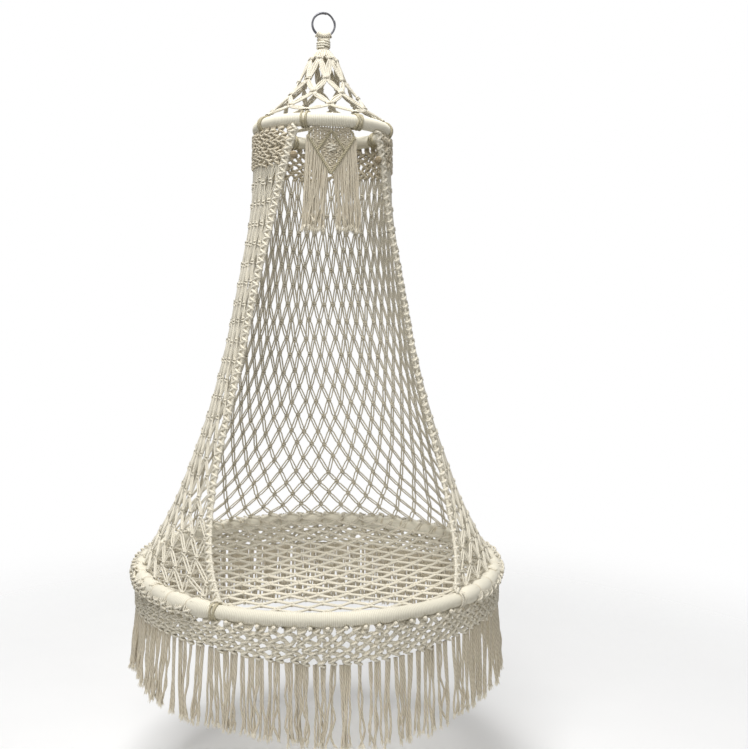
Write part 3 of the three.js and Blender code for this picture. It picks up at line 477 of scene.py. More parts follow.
def polar(azimuth, radius, height):
    a = np.radians(azimuth)
    x, y, z = np.broadcast_arrays(radius * np.sin(a), -radius * np.cos(a), height)
    return np.stack([x, y, z], -1)


def signed(azimuth):
    """The azimuth from the front, from -180 to 180."""
    return (azimuth + 180) % 360 - 180


def ease(x):
    return x * x * (3 - 2 * x)


def across_at(azimuth):
    a = np.radians(azimuth)
    return np.stack([np.cos(a), np.sin(a), np.zeros_like(a)], -1)


class Profile:
    """A smooth line of radius against height, read by its share of length or by height."""

    def __init__(self, top, bottom, shares):
        knots = np.array([
            [top[0] + (bottom[0] - top[0]) * flare, top[1] + (bottom[1] - top[1]) * drop]
            for drop, flare in shares
        ])
        last = len(knots) - 1
        t = np.linspace(0, last, 600)
        i = np.minimum(t.astype(int), last - 1)
        w = (t - i)[:, None]
        p0, p1 = knots[np.maximum(i - 1, 0)], knots[i]
        p2, p3 = knots[i + 1], knots[np.minimum(i + 2, last)]
        v0, v1 = (p2 - p0) / 2, (p3 - p1) / 2
        self.line = (2 * p1 - 2 * p2 + v0 + v1) * w**3 + (3 * p2 - 3 * p1 - 2 * v0 - v1) * w**2 + v0 * w + p1
        step = np.linalg.norm(np.diff(self.line, axis=0), axis=1)
        self.length = np.concatenate([[0], np.cumsum(step)])
        self.share = self.length / self.length[-1]

    def at(self, share):
        return np.interp(share, self.share, self.line[:, 0]), np.interp(share, self.share, self.line[:, 1])

    def share_at(self, height):
        return np.interp(-np.asarray(height), -self.line[:, 1], self.share)

    def frame(self, azimuth, share):
        """Point, across to the right, up along the line, and out, at an azimuth and a share."""
        azimuth, share = np.broadcast_arrays(np.asarray(azimuth, float), np.asarray(share, float))
        radius, height = self.at(share)
        before, after = self.at(np.clip(share - 0.004, 0, 1)), self.at(np.clip(share + 0.004, 0, 1))
        fall = polar(azimuth, after[0], after[1]) - polar(azimuth, before[0], before[1])
        up, across = -unit(fall), across_at(azimuth)
        return polar(azimuth, radius, height), across, up, np.cross(across, up)


WALL = Profile(WALL_TOP, WALL_LANDING, WALL_FLARE)
CROWN = Profile(CROWN_TOP, CROWN_LANDING, CROWN_FLARE)


def wall_drop(height):
    return np.clip((WALL_TOP[1] - height) / (WALL_TOP[1] - WALL_LANDING[1]), 0, 1)


def opening_at(height):
    bulge = 1 - np.abs(2 * wall_drop(height) - 1) ** OPENING_POWER
    return OPENING_HALF_ANGLE + (OPENING_WIDEST - OPENING_HALF_ANGLE) * bulge


def edge_azimuth(height, side):
    """The azimuth of the opening's edge. Near the top the opening turns towards +X."""
    return side * opening_at(height) + OPENING_TURN * (1 - ease(wall_drop(height)))


def wall_azimuth(share, round_share, margin):
    radius, height = WALL.at(share)
    reach = np.degrees(margin / radius)
    right, left = edge_azimuth(height, 1) + reach, 360 + edge_azimuth(height, -1) - reach
    return right + (left - right) * round_share


def halve(low, high, steps, below):
    """The last value for which below is true, between low and high."""
    for _ in range(steps):
        middle = (low + high) / 2
        low, high = (middle, high) if below(middle) else (low, middle)
    return low


def mesh_shares(first, columns, rows):
    """Rows of a hanging net from a share of the wall to its end, all mesh sides equally long."""
    def fall(side):
        shares, place = [first], first * WALL.length[-1]
        for _ in range(rows):
            share = place / WALL.length[-1]
            radius, height = WALL.at(min(share, 1))
            edge = opening_at(height) + math.degrees(NET_MARGIN / radius)
            half = radius * math.radians(360 - 2 * edge) / columns / 2
            place += math.sqrt(max(side**2 - half**2, 1e-8))
            shares.append(place / WALL.length[-1])
        return shares
    return np.array(fall(halve(0.02, 0.08, 40, lambda side: fall(side)[-1] < 1)))


# Nets

def jitter(shape, size):
    return random.normal(0, size, shape)


def net_cords(strands, top, bottom, side, knot_half, offsets, radius, bow=0.0):
    """Pairs of cords from each top knot to a bottom knot. The two bow apart between the knots."""
    (p, a, u, o), (q, b, v, w) = top, bottom
    side = np.asarray(side, float).reshape(-1, 1)
    for way, near, far in zip((-1, 1), offsets, offsets[::-1]):
        leave, arrive = p + side * near * a, q - side * far * b
        start, end = leave - knot_half * u, arrive + knot_half * v
        apart = way * bow * side * np.cross(unit(o + w), unit(end - start))
        bends = [start * s + end * e + apart + jitter(start.shape, CORD_SHAKE) for s, e in BENDS]
        path = np.stack([leave, start, *bends, end, arrive], 1)
        strands.add(path, np.stack([o, o, o, w, w, w], 1), radius)


def square_knots(strands, frame, half_width, half_depth, half_height, radius, tilt=18, steps=10, sides=5):
    """Two tilted turns of cord round the middle of each knot."""
    p, a, u, o = frame
    lean = math.tan(math.radians(tilt))
    for way in (-1, 1):
        slope = way * lean * (1 + jitter((len(p), 1), 0.25))
        middle = p + way * half_height * u
        strands.rings(middle, a + slope * u, o, half_width, half_depth, radius, steps, sides)


def pick(frame, index):
    return tuple(part[index] for part in frame)


def facing(points, *axes):
    """A frame with the same axes at every point."""
    return points, *(np.broadcast_to(axis, points.shape) for axis in axes)


def net_rows(shares, first, shake):
    """Frames of the knots in rows of the wall, odd rows half a column across from even ones."""
    frames = []
    for row, share in enumerate(shares, first):
        places = np.arange(NET_COLUMNS) + 0.5 if row % 2 else np.arange(NET_COLUMNS + 1.0)
        p, a, u, o = WALL.frame(wall_azimuth(share, places / NET_COLUMNS, NET_MARGIN), share)
        p = p + jitter((len(p), 1), shake) * a + jitter((len(p), 1), 1.8 * shake) * u
        frames.append((p, a, u, o))
    return frames


def link_rows(strands, upper, lower, knot_half, offsets, radius, bow=0.0):
    """Cords between a row of knots and the next, which lies half a column across."""
    n = min(len(upper[0]), len(lower[0]))
    near, far = slice(0, n), slice(1, n + 1)
    if len(upper[0]) > n:
        pairs = [(pick(upper, near), lower, np.ones(n)), (pick(upper, far), lower, -np.ones(n))]
    else:
        pairs = [(upper, pick(lower, far), np.ones(n)), (upper, pick(lower, near), -np.ones(n))]
    for top, bottom, side in pairs:
        net_cords(strands, top, bottom, side, knot_half, offsets, radius, bow)


def body_net():
    """The dense band and the net below it, from one braid to the other."""
    band_shares = WALL.share_at(BAND_FIRST - BAND_PITCH * np.arange(BAND_ROWS))
    band = net_rows(band_shares, 0, BAND_SHAKE)
    knots = Strands()
    for upper, lower in zip(band, band[1:]):
        link_rows(knots, upper, lower, BAND_KNOT_HALF, PAIR, CORD_RADIUS)
    for row in band:
        square_knots(knots, row, *BAND_KNOT)
    p, a, u, o = band[0]
    for offset in BAND_OFFSETS:
        low = p + offset * a
        top = low + (UPPER_HEIGHT + BAND_TUCK - p[:, 2:3]) * UP - BAND_TUCK * o
        knots.add(np.stack([low, low + BAND_TUCK * u, top], 1), o[:, None, :], CORD_RADIUS)
    # Painted shade: the band's knots take the darker copy of the cotton
    knots.piece("upper_band_knots", SHADED_COTTON, "chair", "knotted_cord", "upper_band")
    shares = mesh_shares(band_shares[-1], NET_COLUMNS, NET_ROWS)
    rows = [band[-1]] + net_rows(shares[1:], BAND_ROWS, NET_SHAKE)
    cords, turns = Strands(), Strands()
    for upper, lower in zip(rows, rows[1:]):
        width = np.linalg.norm(lower[0][1] - lower[0][0])
        link_rows(cords, upper, lower, KNOT_HALF, NET_PAIR, CORD_RADIUS, NET_BOW_SHARE * width)
    for row in rows[1:]:
        square_knots(turns, row, *NET_KNOT)
    cords.piece("body_netting_cords", COTTON, "chair", "knotted_cord", "body_net")
    turns.piece("body_netting_knots", COTTON, "chair", "knotted_cord", "body_net")


def seat_net():
    most = int(2 * SEAT_RADIUS / SEAT_WIDTH) + 2
    rows, columns = np.meshgrid(np.arange(-most, most + 1), np.arange(-most, most + 1), indexing="ij")
    keep = (rows + columns) % 2 == 0
    rows, columns = rows[keep], columns[keep]

    def place(column, row):
        x, y = column * SEAT_WIDTH / 2, -row * SEAT_DEPTH / 2
        share = np.minimum(np.hypot(x, y) / SEAT_RADIUS, 1)
        lift = SEAT_LIFT * np.clip(y / SEAT_RADIUS, 0, 1) ** 2
        return np.stack([x, y, LOWER_HEIGHT - SEAT_SAG * (1 - share**2) + lift], -1)

    centre = place(columns, rows)
    inside = np.hypot(centre[:, 0], centre[:, 1]) < SEAT_RADIUS - SEAT_RIM
    key = {(r, c): i for i, (r, c) in enumerate(zip(rows[inside], columns[inside]))}
    p = centre[inside]
    p = p + np.append(jitter((len(p), 2), SEAT_SHAKE), np.zeros((len(p), 1)), 1)
    knots = facing(p, RIGHT, -FRONT, UP)
    cords = Strands()
    tops, bottoms, sides, ends = [], [], [], []
    for (row, column), i in key.items():
        for down in (-1, 1):
            for right in (-1, 1):
                other = (row + down, column + right)
                if other in key:
                    if down == 1:
                        tops.append(i), bottoms.append(key[other]), sides.append(right)
                else:
                    ends.append((i, right, down, place(np.array(other[1]), np.array(other[0]))))
    net_cords(cords, pick(knots, tops), pick(knots, bottoms), sides, KNOT_HALF, PAIR, SEAT_CORD, SEAT_BOW)
    for offset in (-0.5, 0.5):
        paths = []
        for i, right, down, beyond in ends:
            start, run = p[i], beyond - p[i]

            def within(share):
                return math.hypot(*(start + run * share)[:2]) < LOWER_RADIUS - SEAT_CLEAR

            end = start + run * halve(0.0, 1.0, 30, within)
            side = np.array([-run[1], run[0], 0]) / math.hypot(run[0], run[1])
            shift = side * offset * SEAT_SPREAD * SEAT_CORD
            front = abs(math.atan2(end[0], -end[1])) < math.radians(OPENING_HALF_ANGLE)
            path = [start, start * 0.85 + end * 0.15 + shift, (start + end) / 2 + shift]
            for out, up in SEAT_ENDS_FRONT if front else SEAT_ENDS_REAR:
                point = end * (LOWER_RADIUS + out) / math.hypot(end[0], end[1])
                point[2] = LOWER_HEIGHT + up
                path.append(point + shift)
            paths.append(path)
        cords.add(np.array(paths), UP, SEAT_CORD)
    square_knots(cords, knots, *SEAT_KNOT)
    cords.piece("seat_netting", COTTON, "chair", "cotton_cord", "seat_net")


def crown_net():
    """Bundles of cords from the neck down to the upper hoop, tied together at every crossing."""
    cords, turns = Strands(), Strands()
    frames = []
    for row, share in enumerate(CROWN_ROWS):
        places = np.arange(CROWN_COLUMNS) + (0.5 if row % 2 == 0 else 0.0)
        frames.append(CROWN.frame(360 * places / CROWN_COLUMNS, share))
    offsets = [(k + 0.5) * CROWN_PITCH for k in range(CROWN_CORDS)]
    for row, (upper, lower) in enumerate(zip(frames, frames[1:])):
        n = CROWN_COLUMNS
        ahead = np.arange(n) if row % 2 else (np.arange(n) + 1) % n
        behind = np.arange(n) - 1 if row % 2 else np.arange(n)
        for target, side in ((ahead, 1.0), (behind % n, -1.0)):
            bundle(cords, upper, pick(lower, target), side, offsets)
    p, a, u, o = frames[0]
    spread = 2 * np.arange(2 * CROWN_CORDS) / (2 * CROWN_CORDS - 1) - 1
    for k, place in enumerate(spread):
        azimuth = 360 * (np.arange(CROWN_COLUMNS) + 0.5 + place * 0.45) / CROWN_COLUMNS
        layer = CROWN_LAYERS[k % 2]
        throat = [polar(azimuth, radius + layer, NECK_BOTTOM + rise) for radius, rise in CROWN_THROAT]
        wide = CROWN.frame(360 * (np.arange(CROWN_COLUMNS) + 0.5 + place * 0.5) / CROWN_COLUMNS, 0.11)[0]
        end = p + place * 0.0066 * a + layer * o + 0.002 * u
        path = np.stack([*throat, wide + layer * o, end, end - TIE_REACH * u], 1)
        cords.add(path, o[:, None, :], CORD_RADIUS)
    for row in frames[:-1]:
        for level in (-TIE_RISE, TIE_RISE):
            q, b, v, w = row
            lean = TIE_LEAN * (1 + jitter((len(q), 1), 0.8))
            turns.rings(q + level * v, b + lean * v, w, *CROWN_TIE)
    cords.piece("crown_cords", COTTON, "chair", "cotton_cord", "crown_net")
    turns.piece("crown_knots", COTTON, "chair", "cotton_cord", "crown_net")


def bundle(cords, upper, lower, side, offsets):
    """A flat bundle of cords from one row of crown knots to the next, gathered at both ends."""
    (p, a, u, o), (q, b, v, w) = upper, lower
    count = len(offsets)
    for k, (near, far) in enumerate(zip(offsets, offsets[::-1])):
        layer = BUNDLE_LAYER if k % 2 else -BUNDLE_LAYER
        leave = p + side * near * BUNDLE_GATHER * a + layer * o
        arrive = q - side * far * BUNDLE_GATHER * b + layer * w
        run = unit(arrive - leave)
        spread = (k - (count - 1) / 2) * BUNDLE_SPREAD
        out = unit(o + w)
        beside = side * np.cross(run, out)
        start, end = leave - TIE_REACH * u, arrive + TIE_REACH * v
        bends = [
            start * (1 - t) + end * t - spread * beside * swell + jitter(start.shape, CORD_SHAKE)
            for t, swell in ((0.25, 0.45), (0.5, 0.5), (0.75, 0.45))
        ]
        path = np.stack([leave, start, *bends, end, arrive], 1)
        cords.add(path, out[:, None, :], CORD_RADIUS)


# Hoops

def hoop_winding(name, hoop, start, end, radius_at, closed, *nodes):
    """Turns of cord side by side round a stretch of hoop, each turn a ridge."""
    radius, height = hoop
    turns = int(round(radius * math.radians(end - start) / TURN_PITCH))
    count = 4 * turns + (0 if closed else 1)
    azimuth = start + (end - start) * np.arange(count) / (4 * turns)
    depth = TURN_SHAPE[np.arange(count) % 4] * TURN_DEPTH
    path = polar(azimuth, radius, height)
    strands = Strands()
    strands.add(path[None], UP, (radius_at(azimuth) - depth)[None], 20, closed)
    strands.piece(name, WOUND, "chair", "cotton_cord", *nodes)


def plain(azimuth):
    return np.full_like(azimuth, WINDING_RADIUS)


def lashing(strands, hoop, azimuths, reach, count, radius, pitch, tilt):
    """Turns of cord round the winding at each azimuth."""
    azimuths = np.asarray(azimuths, float)
    outward, along = polar(azimuths, 1.0, 0.0), across_at(azimuths)
    for i in range(count):
        centre = polar(azimuths, *hoop) + (i - (count - 1) / 2) * pitch * along
        lean = tilt * (-1 if i % 2 else 1) * (1 + jitter((len(azimuths), 1), 0.5))
        strands.rings(centre, outward + 0.5 * lean * along, UP + lean * along, reach, reach, radius, 28, 6)


def hoops():
    upper, lower = (UPPER_RADIUS, UPPER_HEIGHT), (LOWER_RADIUS, LOWER_HEIGHT)
    hoop_winding("upper_hoop_wrap", upper, 0, 360, plain, True, "upper_hoop_winding")
    edge = OPENING_HALF_ANGLE
    landing = edge + math.degrees(NET_MARGIN / LOWER_RADIUS)

    def beads(azimuth):
        column = (azimuth - landing) / (360 - 2 * landing) * NET_COLUMNS
        swell = np.abs(np.sin(np.pi * column)) ** BEAD_POWER
        within = (column > 0) & (column < NET_COLUMNS)
        return WINDING_RADIUS + np.where(within, (BEAD_RISE + BEAD_DIP) * swell - BEAD_DIP, 0)

    hoop_winding("lower_hoop_wrap_rear", lower, edge, 360 - edge, beads, False, "lower_hoop_winding_rear")
    hoop_winding("lower_hoop_wrap_front", lower, -edge, edge, plain, False, "lower_hoop_winding_front")
    ties = Strands()
    azimuths = 360 * (np.arange(LASHINGS) + 0.5) / LASHINGS
    lashing(ties, upper, azimuths, LASHING_REACH, *LASHING_TURNS)
    names = [f"upper_lashing_{i + 1}" for i in range(LASHINGS)]
    # Painted shade: the upper lashings take the dark olive copy of the cotton
    ties.piece("upper_lashings", DEEP_SHADE_COTTON, "chair", "knotted_cord", *names)
    # Painted shade on the left foot lashing only; the right one keeps the plain cotton
    for name, side, material in (("left", -1, DEEP_SHADE_COTTON), ("right", 1, COTTON)):
        foot = Strands()
        lashing(foot, lower, [side * edge], LASHING_REACH, *LASHING_TURNS)
        foot.piece(f"foot_lashing_{name}", material, "chair", "knotted_cord", f"braid_foot_lashing_{name}")
    ties = Strands()
    azimuths = landing + (360 - 2 * landing) * np.arange(1, NET_COLUMNS) / NET_COLUMNS
    lashing(ties, lower, azimuths, LANDING_REACH, *LANDING_TURNS)
    # Painted shade in the pinches between the beads: the landing loops take the darker copy of the cotton
    ties.piece("net_landing_loops", SHADED_COTTON, "chair", "knotted_cord")


# Ring, loop, neck and binding

def hanging_ring():
    angle = np.linspace(RING_END / 2, 720 - RING_END / 2, 2 * RING_STEPS + 1)
    jog = ease(np.clip((angle - 360 + RING_JOG / 2) / RING_JOG, 0, 1))
    a = np.radians(angle + RING_END)
    path = np.stack([np.sin(a), 0 * a, np.cos(a)], -1) * RING_RADIUS + [0, 0, RING_CENTRE]
    path[:, 1] = RING_PITCH * (jog - 0.5)
    radius = np.full(len(path), RING_WIRE_RADIUS)
    radius[[0, -1]] = RING_TIP
    for tip, beside in ((0, 1), (-1, -2)):
        path[tip] = path[beside] + (path[tip] - path[beside]) * 0.3
    ring = Strands()
    ring.add(path[None], -FRONT, radius[None], 12)
    ring.piece("split_ring", RING_STEEL, "ring", "ring_steel", "hanging_ring")


def loop_and_neck():
    angles = np.radians(np.linspace(-LOOP_HALF_ANGLE, LOOP_HALF_ANGLE, LOOP_CORDS))
    out = np.stack([np.sin(angles), 0 * angles, -np.cos(angles)], -1)
    centres = np.array([0, 0, RING_CENTRE]) + RING_RADIUS * out
    loop = Strands()
    loop.rings(centres, out, np.broadcast_to(-FRONT, out.shape), LOOP_REACH, LOOP_REACH, LOOP_CORD, 24, 8)
    loop.piece("ring_cords", COTTON, "loop", "cotton_cord", "cord_loop")
    neck = Strands()
    for depth, count in NECK_LAYERS:
        x = np.linspace(-NECK_HALF, NECK_HALF, count)
        rise = RING_RADIUS - np.sqrt(RING_RADIUS**2 - x**2)
        for way in (-1, 1):
            y = np.full(count, way * depth)
            # Half of the rise keeps the outer cords clear of the ring's cords at the limits of the swing
            top = np.stack([x, y, CRADLE_HEIGHT + rise / 2 - math.sqrt(CRADLE_RADIUS**2 - depth**2)], -1)
            side = np.sqrt(1 - (x / NECK_ROUND) ** 2)
            low = np.stack([0.70 * x, 1.05 * y * side, 0 * x], -1)
            bend = 0.65 * top + 0.35 * low
            bend[:, 2] = (top[:, 2] + BINDING_TOP) / 2
            heights = (BINDING_TOP, (BINDING_TOP + NECK_BOTTOM) / 2, NECK_BOTTOM)
            levels = [top, bend] + [low + [0, 0, z] for z in heights]
            neck.add(np.stack(levels, 1), np.array([0, way * 1.0, 0]), CORD_RADIUS)
    neck.piece("neck_cord_bundle", COTTON, "chair", "cotton_cord", "neck_cords")
    turn = np.linspace(0, BINDING_TURNS, BINDING_TURNS * 32 + 1)
    path = polar(360 * turn, NECK_RADIUS + BINDING_GAP + BINDING_RADIUS, BINDING_TOP - BINDING_PITCH * turn)
    binding = Strands()
    binding.add(path[None], UP, BINDING_RADIUS, 10)
    binding.piece("neck_wrap", WOUND, "chair", "knotted_cord", "neck_binding")


# Braids, corner knots and ornament

def edge_braids():
    count = int(WALL.length[-1] / BRAID_PITCH)
    share = np.linspace(0, 1, count)
    for name, side in (("left", -1), ("right", 1)):
        radius, height = WALL.at(share)
        path = polar(edge_azimuth(height, side), radius, height)
        foot = polar(side * OPENING_HALF_ANGLE, LOWER_RADIUS - 0.001, LOWER_HEIGHT + LASHING_REACH)
        path = np.concatenate([path, foot[None]])
        run = unit(np.gradient(path, axis=0))
        out = square_to(unit(path * np.array([1, 1, 0])), run)
        across = np.cross(run, out)
        way = np.where(np.arange(len(path)) % 2, 1.0, -1.0)[:, None]
        lean = math.tan(math.radians(BRAID_TILT)) * way
        braid = Strands()
        lump = BRAID_LUMP * way + jitter(way.shape, CORD_SHAKE)
        centres, slant = path + lump * across, across + lean * run
        braid.rings(centres, slant, out, BRAID_HALF_WIDTH, BRAID_HALF_DEPTH, BRAID_CORD, 14, 7)
        for place in BRAID_STRANDS:
            braid.add((path + place * BRAID_HALF_WIDTH * across)[None], out[None], BRAID_CORD)
        braid.piece(f"edge_braid_{name}_cords", COTTON, "chair", "knotted_cord", f"edge_braid_{name}")
        corner_knot(name, side)


def corner_knot(name, side):
    centre = np.mean(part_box(f"corner_knot_{name}"), axis=0)
    out = unit(centre * np.array([1, 1, 0]))
    across = np.cross(UP, out)
    knot = Strands()
    reach = CORNER_KNOT_RADIUS - CORD_RADIUS
    for first, second, normal in ((across, UP, out), (UP, out, across), (out, across, UP)):
        for shift in CORNER_KNOT_SHIFTS:
            size = math.sqrt(reach**2 - shift**2)
            middle = (centre + shift * normal)[None]
            knot.rings(middle, first[None], second[None], size, size, CORD_RADIUS, 20, 6)
    # Painted shade: the corner knot takes the dark brown copy of the cotton
    knot.piece(f"corner_knot_{name}_cords", SHADED_BERRY, "chair", "knotted_cord", f"corner_knot_{name}")


def ornament_arm(side, share):
    share = np.asarray(share, float)
    x = side * ORNAMENT_HALF * (1 - share)
    z = HINGE[1] - (ORNAMENT_SHOULDER + (ORNAMENT_DEPTH - ORNAMENT_SHOULDER) * share)
    return np.stack([x, np.full_like(x, HINGE[0]), z], -1)


def ridge(strands, start, end, radius, pitch, cord):
    """A row of half hitches: slanting turns of cord one against the next."""
    length = np.linalg.norm(end - start)
    count = int(length / pitch)
    share = (np.arange(count) + 0.5) / count
    path = start + (end - start) * share[:, None]
    run = np.broadcast_to((end - start) / length, path.shape)
    out = np.broadcast_to(FRONT, path.shape)
    across = np.cross(run, out)
    strands.rings(path, across + 0.45 * run, out, radius, radius, cord, 12, 6)
    strands.add(np.stack([start, (start + end) / 2, end])[None], FRONT, radius * 0.8)


def front_ornament():
    panel, ridges = Strands(), Strands()
    top, forward = np.array([0, HINGE[0], HINGE[1] - 0.0065]), np.array([0, -0.0008, 0])
    for side in (-1, 1):
        arm = [ornament_arm(side, share) + forward for share in (0.05, ORNAMENT_MEET, 1)]
        ridge(ridges, arm[0], arm[2], *ARM_RIDGE)
        ridge(ridges, top + forward, arm[1], *INNER_RIDGE)
        corner = np.array([side * ORNAMENT_TOP_HALF, HINGE[0], HINGE[1] - 0.003])
        ridge(ridges, corner, arm[0], *CORNER_RIDGE)
    # Painted shade: the ridges take the dark olive copy of the cotton
    ridges.piece("ornament_ridges", DEEP_SHADE_COTTON, "ornament", "knotted_cord", "front_ornament")
    fields = []
    for row in range(ORNAMENT_ROWS):
        drop = ORNAMENT_FIRST + row * ORNAMENT_ROW_PITCH
        half = ORNAMENT_TOP_HALF + (ORNAMENT_HALF - ORNAMENT_TOP_HALF) * min(drop / ORNAMENT_SHOULDER, 1)
        if drop > ORNAMENT_SHOULDER:
            half = ORNAMENT_HALF * (ORNAMENT_DEPTH - drop) / (ORNAMENT_DEPTH - ORNAMENT_SHOULDER)
        count = max(int(2 * (half - 0.004) / ORNAMENT_PITCH), 1)
        for x in (np.arange(count) - (count - 1) / 2) * ORNAMENT_PITCH:
            fields.append([x, HINGE[0], HINGE[1] - drop])
    square_knots(panel, facing(np.array(fields), RIGHT, UP, FRONT), *ORNAMENT_KNOT)
    x = np.linspace(-0.046, 0.046, 34)
    away = np.abs(x)
    drop = ORNAMENT_SHOULDER + (ORNAMENT_DEPTH - ORNAMENT_SHOULDER) * (1 - away / ORNAMENT_HALF) - 0.002
    beyond = np.clip((away - ORNAMENT_TOP_HALF) / (ORNAMENT_HALF - ORNAMENT_TOP_HALF), 0, 1)
    fall = np.linspace(beyond * ORNAMENT_SHOULDER, drop, 5, axis=1)
    wave = 0.0006 * np.sin(40 * fall + 900 * x[:, None])
    points = np.stack([x[:, None] + wave, HINGE[0] + 0.0006 + 0 * fall, HINGE[1] - fall], -1)
    panel.add(points, FRONT, 0.0014)
    row = np.linspace(-ORNAMENT_TOP_HALF + 0.003, ORNAMENT_TOP_HALF - 0.003, 14)
    p = np.stack([row, np.full_like(row, HINGE[0]), np.full_like(row, HINGE[1])], -1)
    panel.rings(*facing(p, UP, FRONT), 0.0026, 0.0022, 0.0013, 12, 6)
    # Painted shade: the ornament's knots take the darker copy of the cotton
    panel.piece("ornament_knots", SHADED_COTTON, "ornament", "knotted_cord", "front_ornament")
    centre = Strands()
    for level, half, slope in CENTRE_TURNS:
        p = np.array([[0.0, HINGE[0] - 0.001, HINGE[1] - CENTRE_DROP + level]])
        centre.rings(p, [[1.0, 0, slope]], [[0, -1.0, 0]], half, 0.0028, 0.0019, 20, 6)
    centre.piece("ornament_centre_knot", COTTON, "ornament", "knotted_cord")
    for name, side in (("left", -1), ("right", 1)):
        ornament_tuft(name, side)


def ornament_tuft(name, side):
    """Cords that hang from an arm of the V, in two layers, with frayed ends."""
    tuft, frays = Strands(), Strands()
    for layer, count in TUFT_LAYERS:
        share = np.linspace(0.02, 0.86, count)
        top = ornament_arm(side, share) + np.array([0, layer, -0.001])
        splay = side * (0.010 - 0.005 * share) + jitter(count, 0.0034)
        bottom = HINGE[1] - ORNAMENT_FRINGE_BOTTOM + 0.004 + np.abs(jitter(count, 0.006))
        hang(tuft, frays, top, np.stack([top[:, 0] + splay, top[:, 1] + jitter(count, 0.0012), bottom], -1),
             FRONT, *TUFT_HANG)
    frays.piece(f"ornament_frays_{name}", FRAY, "ornament", "cotton_cord")
    # Painted shade: the tufts take the darker copy of the cotton
    tuft.piece(f"ornament_tuft_{name}", SHADED_FRINGE, "ornament", "cotton_cord", f"ornament_fringe_{name}")


def hang(strands, frays, top, bottom, out, radius, wave, steps):
    """Loose cords from top to bottom points, a little wavy, each with a frayed end."""
    share = np.linspace(0, 1, steps)
    count = len(top)
    path = top[:, None, :] + (bottom - top)[:, None, :] * share[:, None]
    front = np.broadcast_to(out, top.shape)
    beside = unit(np.cross(bottom - top, front))
    for turns in WAVE_TURNS:
        swing = np.sin(share * turns * 2 * np.pi + 6.3 * random.random((count, 1)))
        for part, axis in ((WAVE_BESIDE, beside), (WAVE_FRONT, front)):
            size = wave * random.normal(0, part, (count, 1)) * share
            path = path + (swing * size)[..., None] * axis[:, None, :]
    taper = np.ones(steps)
    taper[-2:] = (1.12, 0.85)
    strands.add(path, front[:, None, :], radius * taper[None], 6)
    end, before = path[:, -1], path[:, -2]
    run = unit(end - before)
    across = np.cross(run, front)
    for _ in range(FRAY_FIBRES):
        spread = jitter((count, 1), FRAY_SPREAD) * across + jitter((count, 1), FRAY_SPREAD) * front
        length = FRAY_LENGTH + FRAY_LENGTH * random.random((count, 1))
        tip = end + length * unit(run + spread)
        root = end - 0.003 * run + spread * radius
        fibre = np.stack([root, (root + tip) / 2 + 0.0004 * spread, tip], 1)
        frays.add(fibre, front[:, None, :], FRAY_RADIUS, 4)


# Skirt

def skirt_depth(azimuth):
    """The skirt hangs deepest in front."""
    away = np.clip(np.abs(signed(azimuth)) / SKIRT_FRONT_ANGLE, 0, 1)
    return SKIRT_FRONT_DEPTH + (SKIRT_DEPTH - SKIRT_FRONT_DEPTH) * ease(away)


def skirt():
    """Rows of knots below the hoop, and at the sides and back more rows that climb over it."""
    n = SKIRT_COLUMNS
    rows, kept = [], []
    for i in range(len(COVER_ROWS) + SKIRT_ROWS):
        azimuth = 360 * (np.arange(n) + (0.5 if i % 2 else 0.0)) / n
        across = across_at(azimuth)
        away = np.abs(signed(azimuth))
        if i < len(COVER_ROWS):
            rise, limit = COVER_ROWS[i]
            p = on_hoop(azimuth, rise)
            kept.append(away > limit)
        else:
            height = SKIRT_TOP - skirt_depth(azimuth) * (i - len(COVER_ROWS) + 0.45) / SKIRT_ROWS
            p = polar(azimuth, SKIRT_RADIUS, height)
            kept.append(away > -1)
        p = p + jitter((n, 1), SKIRT_SHAKE_ACROSS) * across + jitter((n, 1), SKIRT_SHAKE_UP) * UP
        up = np.broadcast_to(UP, p.shape)
        rows.append((p, across, up, np.cross(across, up)))
    cords, turns = Strands(), Strands()
    here = np.arange(n)
    for i, (upper, lower) in enumerate(zip(rows, rows[1:])):
        right, left = ((here + 1) % n, here) if i % 2 else (here, (here - 1) % n)
        for target, side in ((right, 1.0), (left, -1.0)):
            both = here[kept[i] & kept[i + 1][target]]
            sides = np.full(len(both), side)
            ends = pick(upper, both), pick(lower, target[both])
            net_cords(cords, *ends, sides, SKIRT_KNOT_HALF, PAIR, SKIRT_CORD, SKIRT_BOW)
    for i, row in enumerate(rows[:len(COVER_ROWS)]):
        above = kept[i - 1] & kept[i - 1][here - 1] if i else np.zeros(n, bool)
        top = kept[i] & ~above
        azimuth = 360 * (here[top] + (0.5 if i % 2 else 0.0)) / n
        p, a, u, o = pick(row, here[top])
        rise = COVER_ROWS[i][0]
        for offset in COVER_OFFSETS:
            bend = on_hoop(azimuth, rise + COVER_BEND_RISE)
            end = on_hoop(azimuth, rise + COVER_END_RISE, COVER_END_LIFT)
            path = np.stack([p + offset * a, bend + 1.5 * offset * a, end + 1.8 * offset * a], 1)
            cords.add(path, o[:, None, :], CORD_RADIUS)
    front = here[~kept[len(COVER_ROWS) - 1]]
    p, a, u, o = pick(rows[len(COVER_ROWS)], front)
    for offset in SKIRT_TOP_OFFSETS:
        top = p + offset * 1.25 * a - 0.006 * o
        top[:, 2] = LOWER_HEIGHT - 0.0115
        bend = p + offset * 0.9 * a + 0.004 * u
        cords.add(np.stack([p + offset * 0.5 * a, bend, top], 1), o[:, None, :], CORD_RADIUS)
    for row, keep in zip(rows, kept):
        square_knots(turns, pick(row, here[keep]), *SKIRT_KNOT)
    cords.piece("skirt_cords", COTTON, "chair", "knotted_cord", "skirt_band")
    turns.piece("skirt_knots", COTTON, "chair", "knotted_cord", "skirt_band")
    berries()


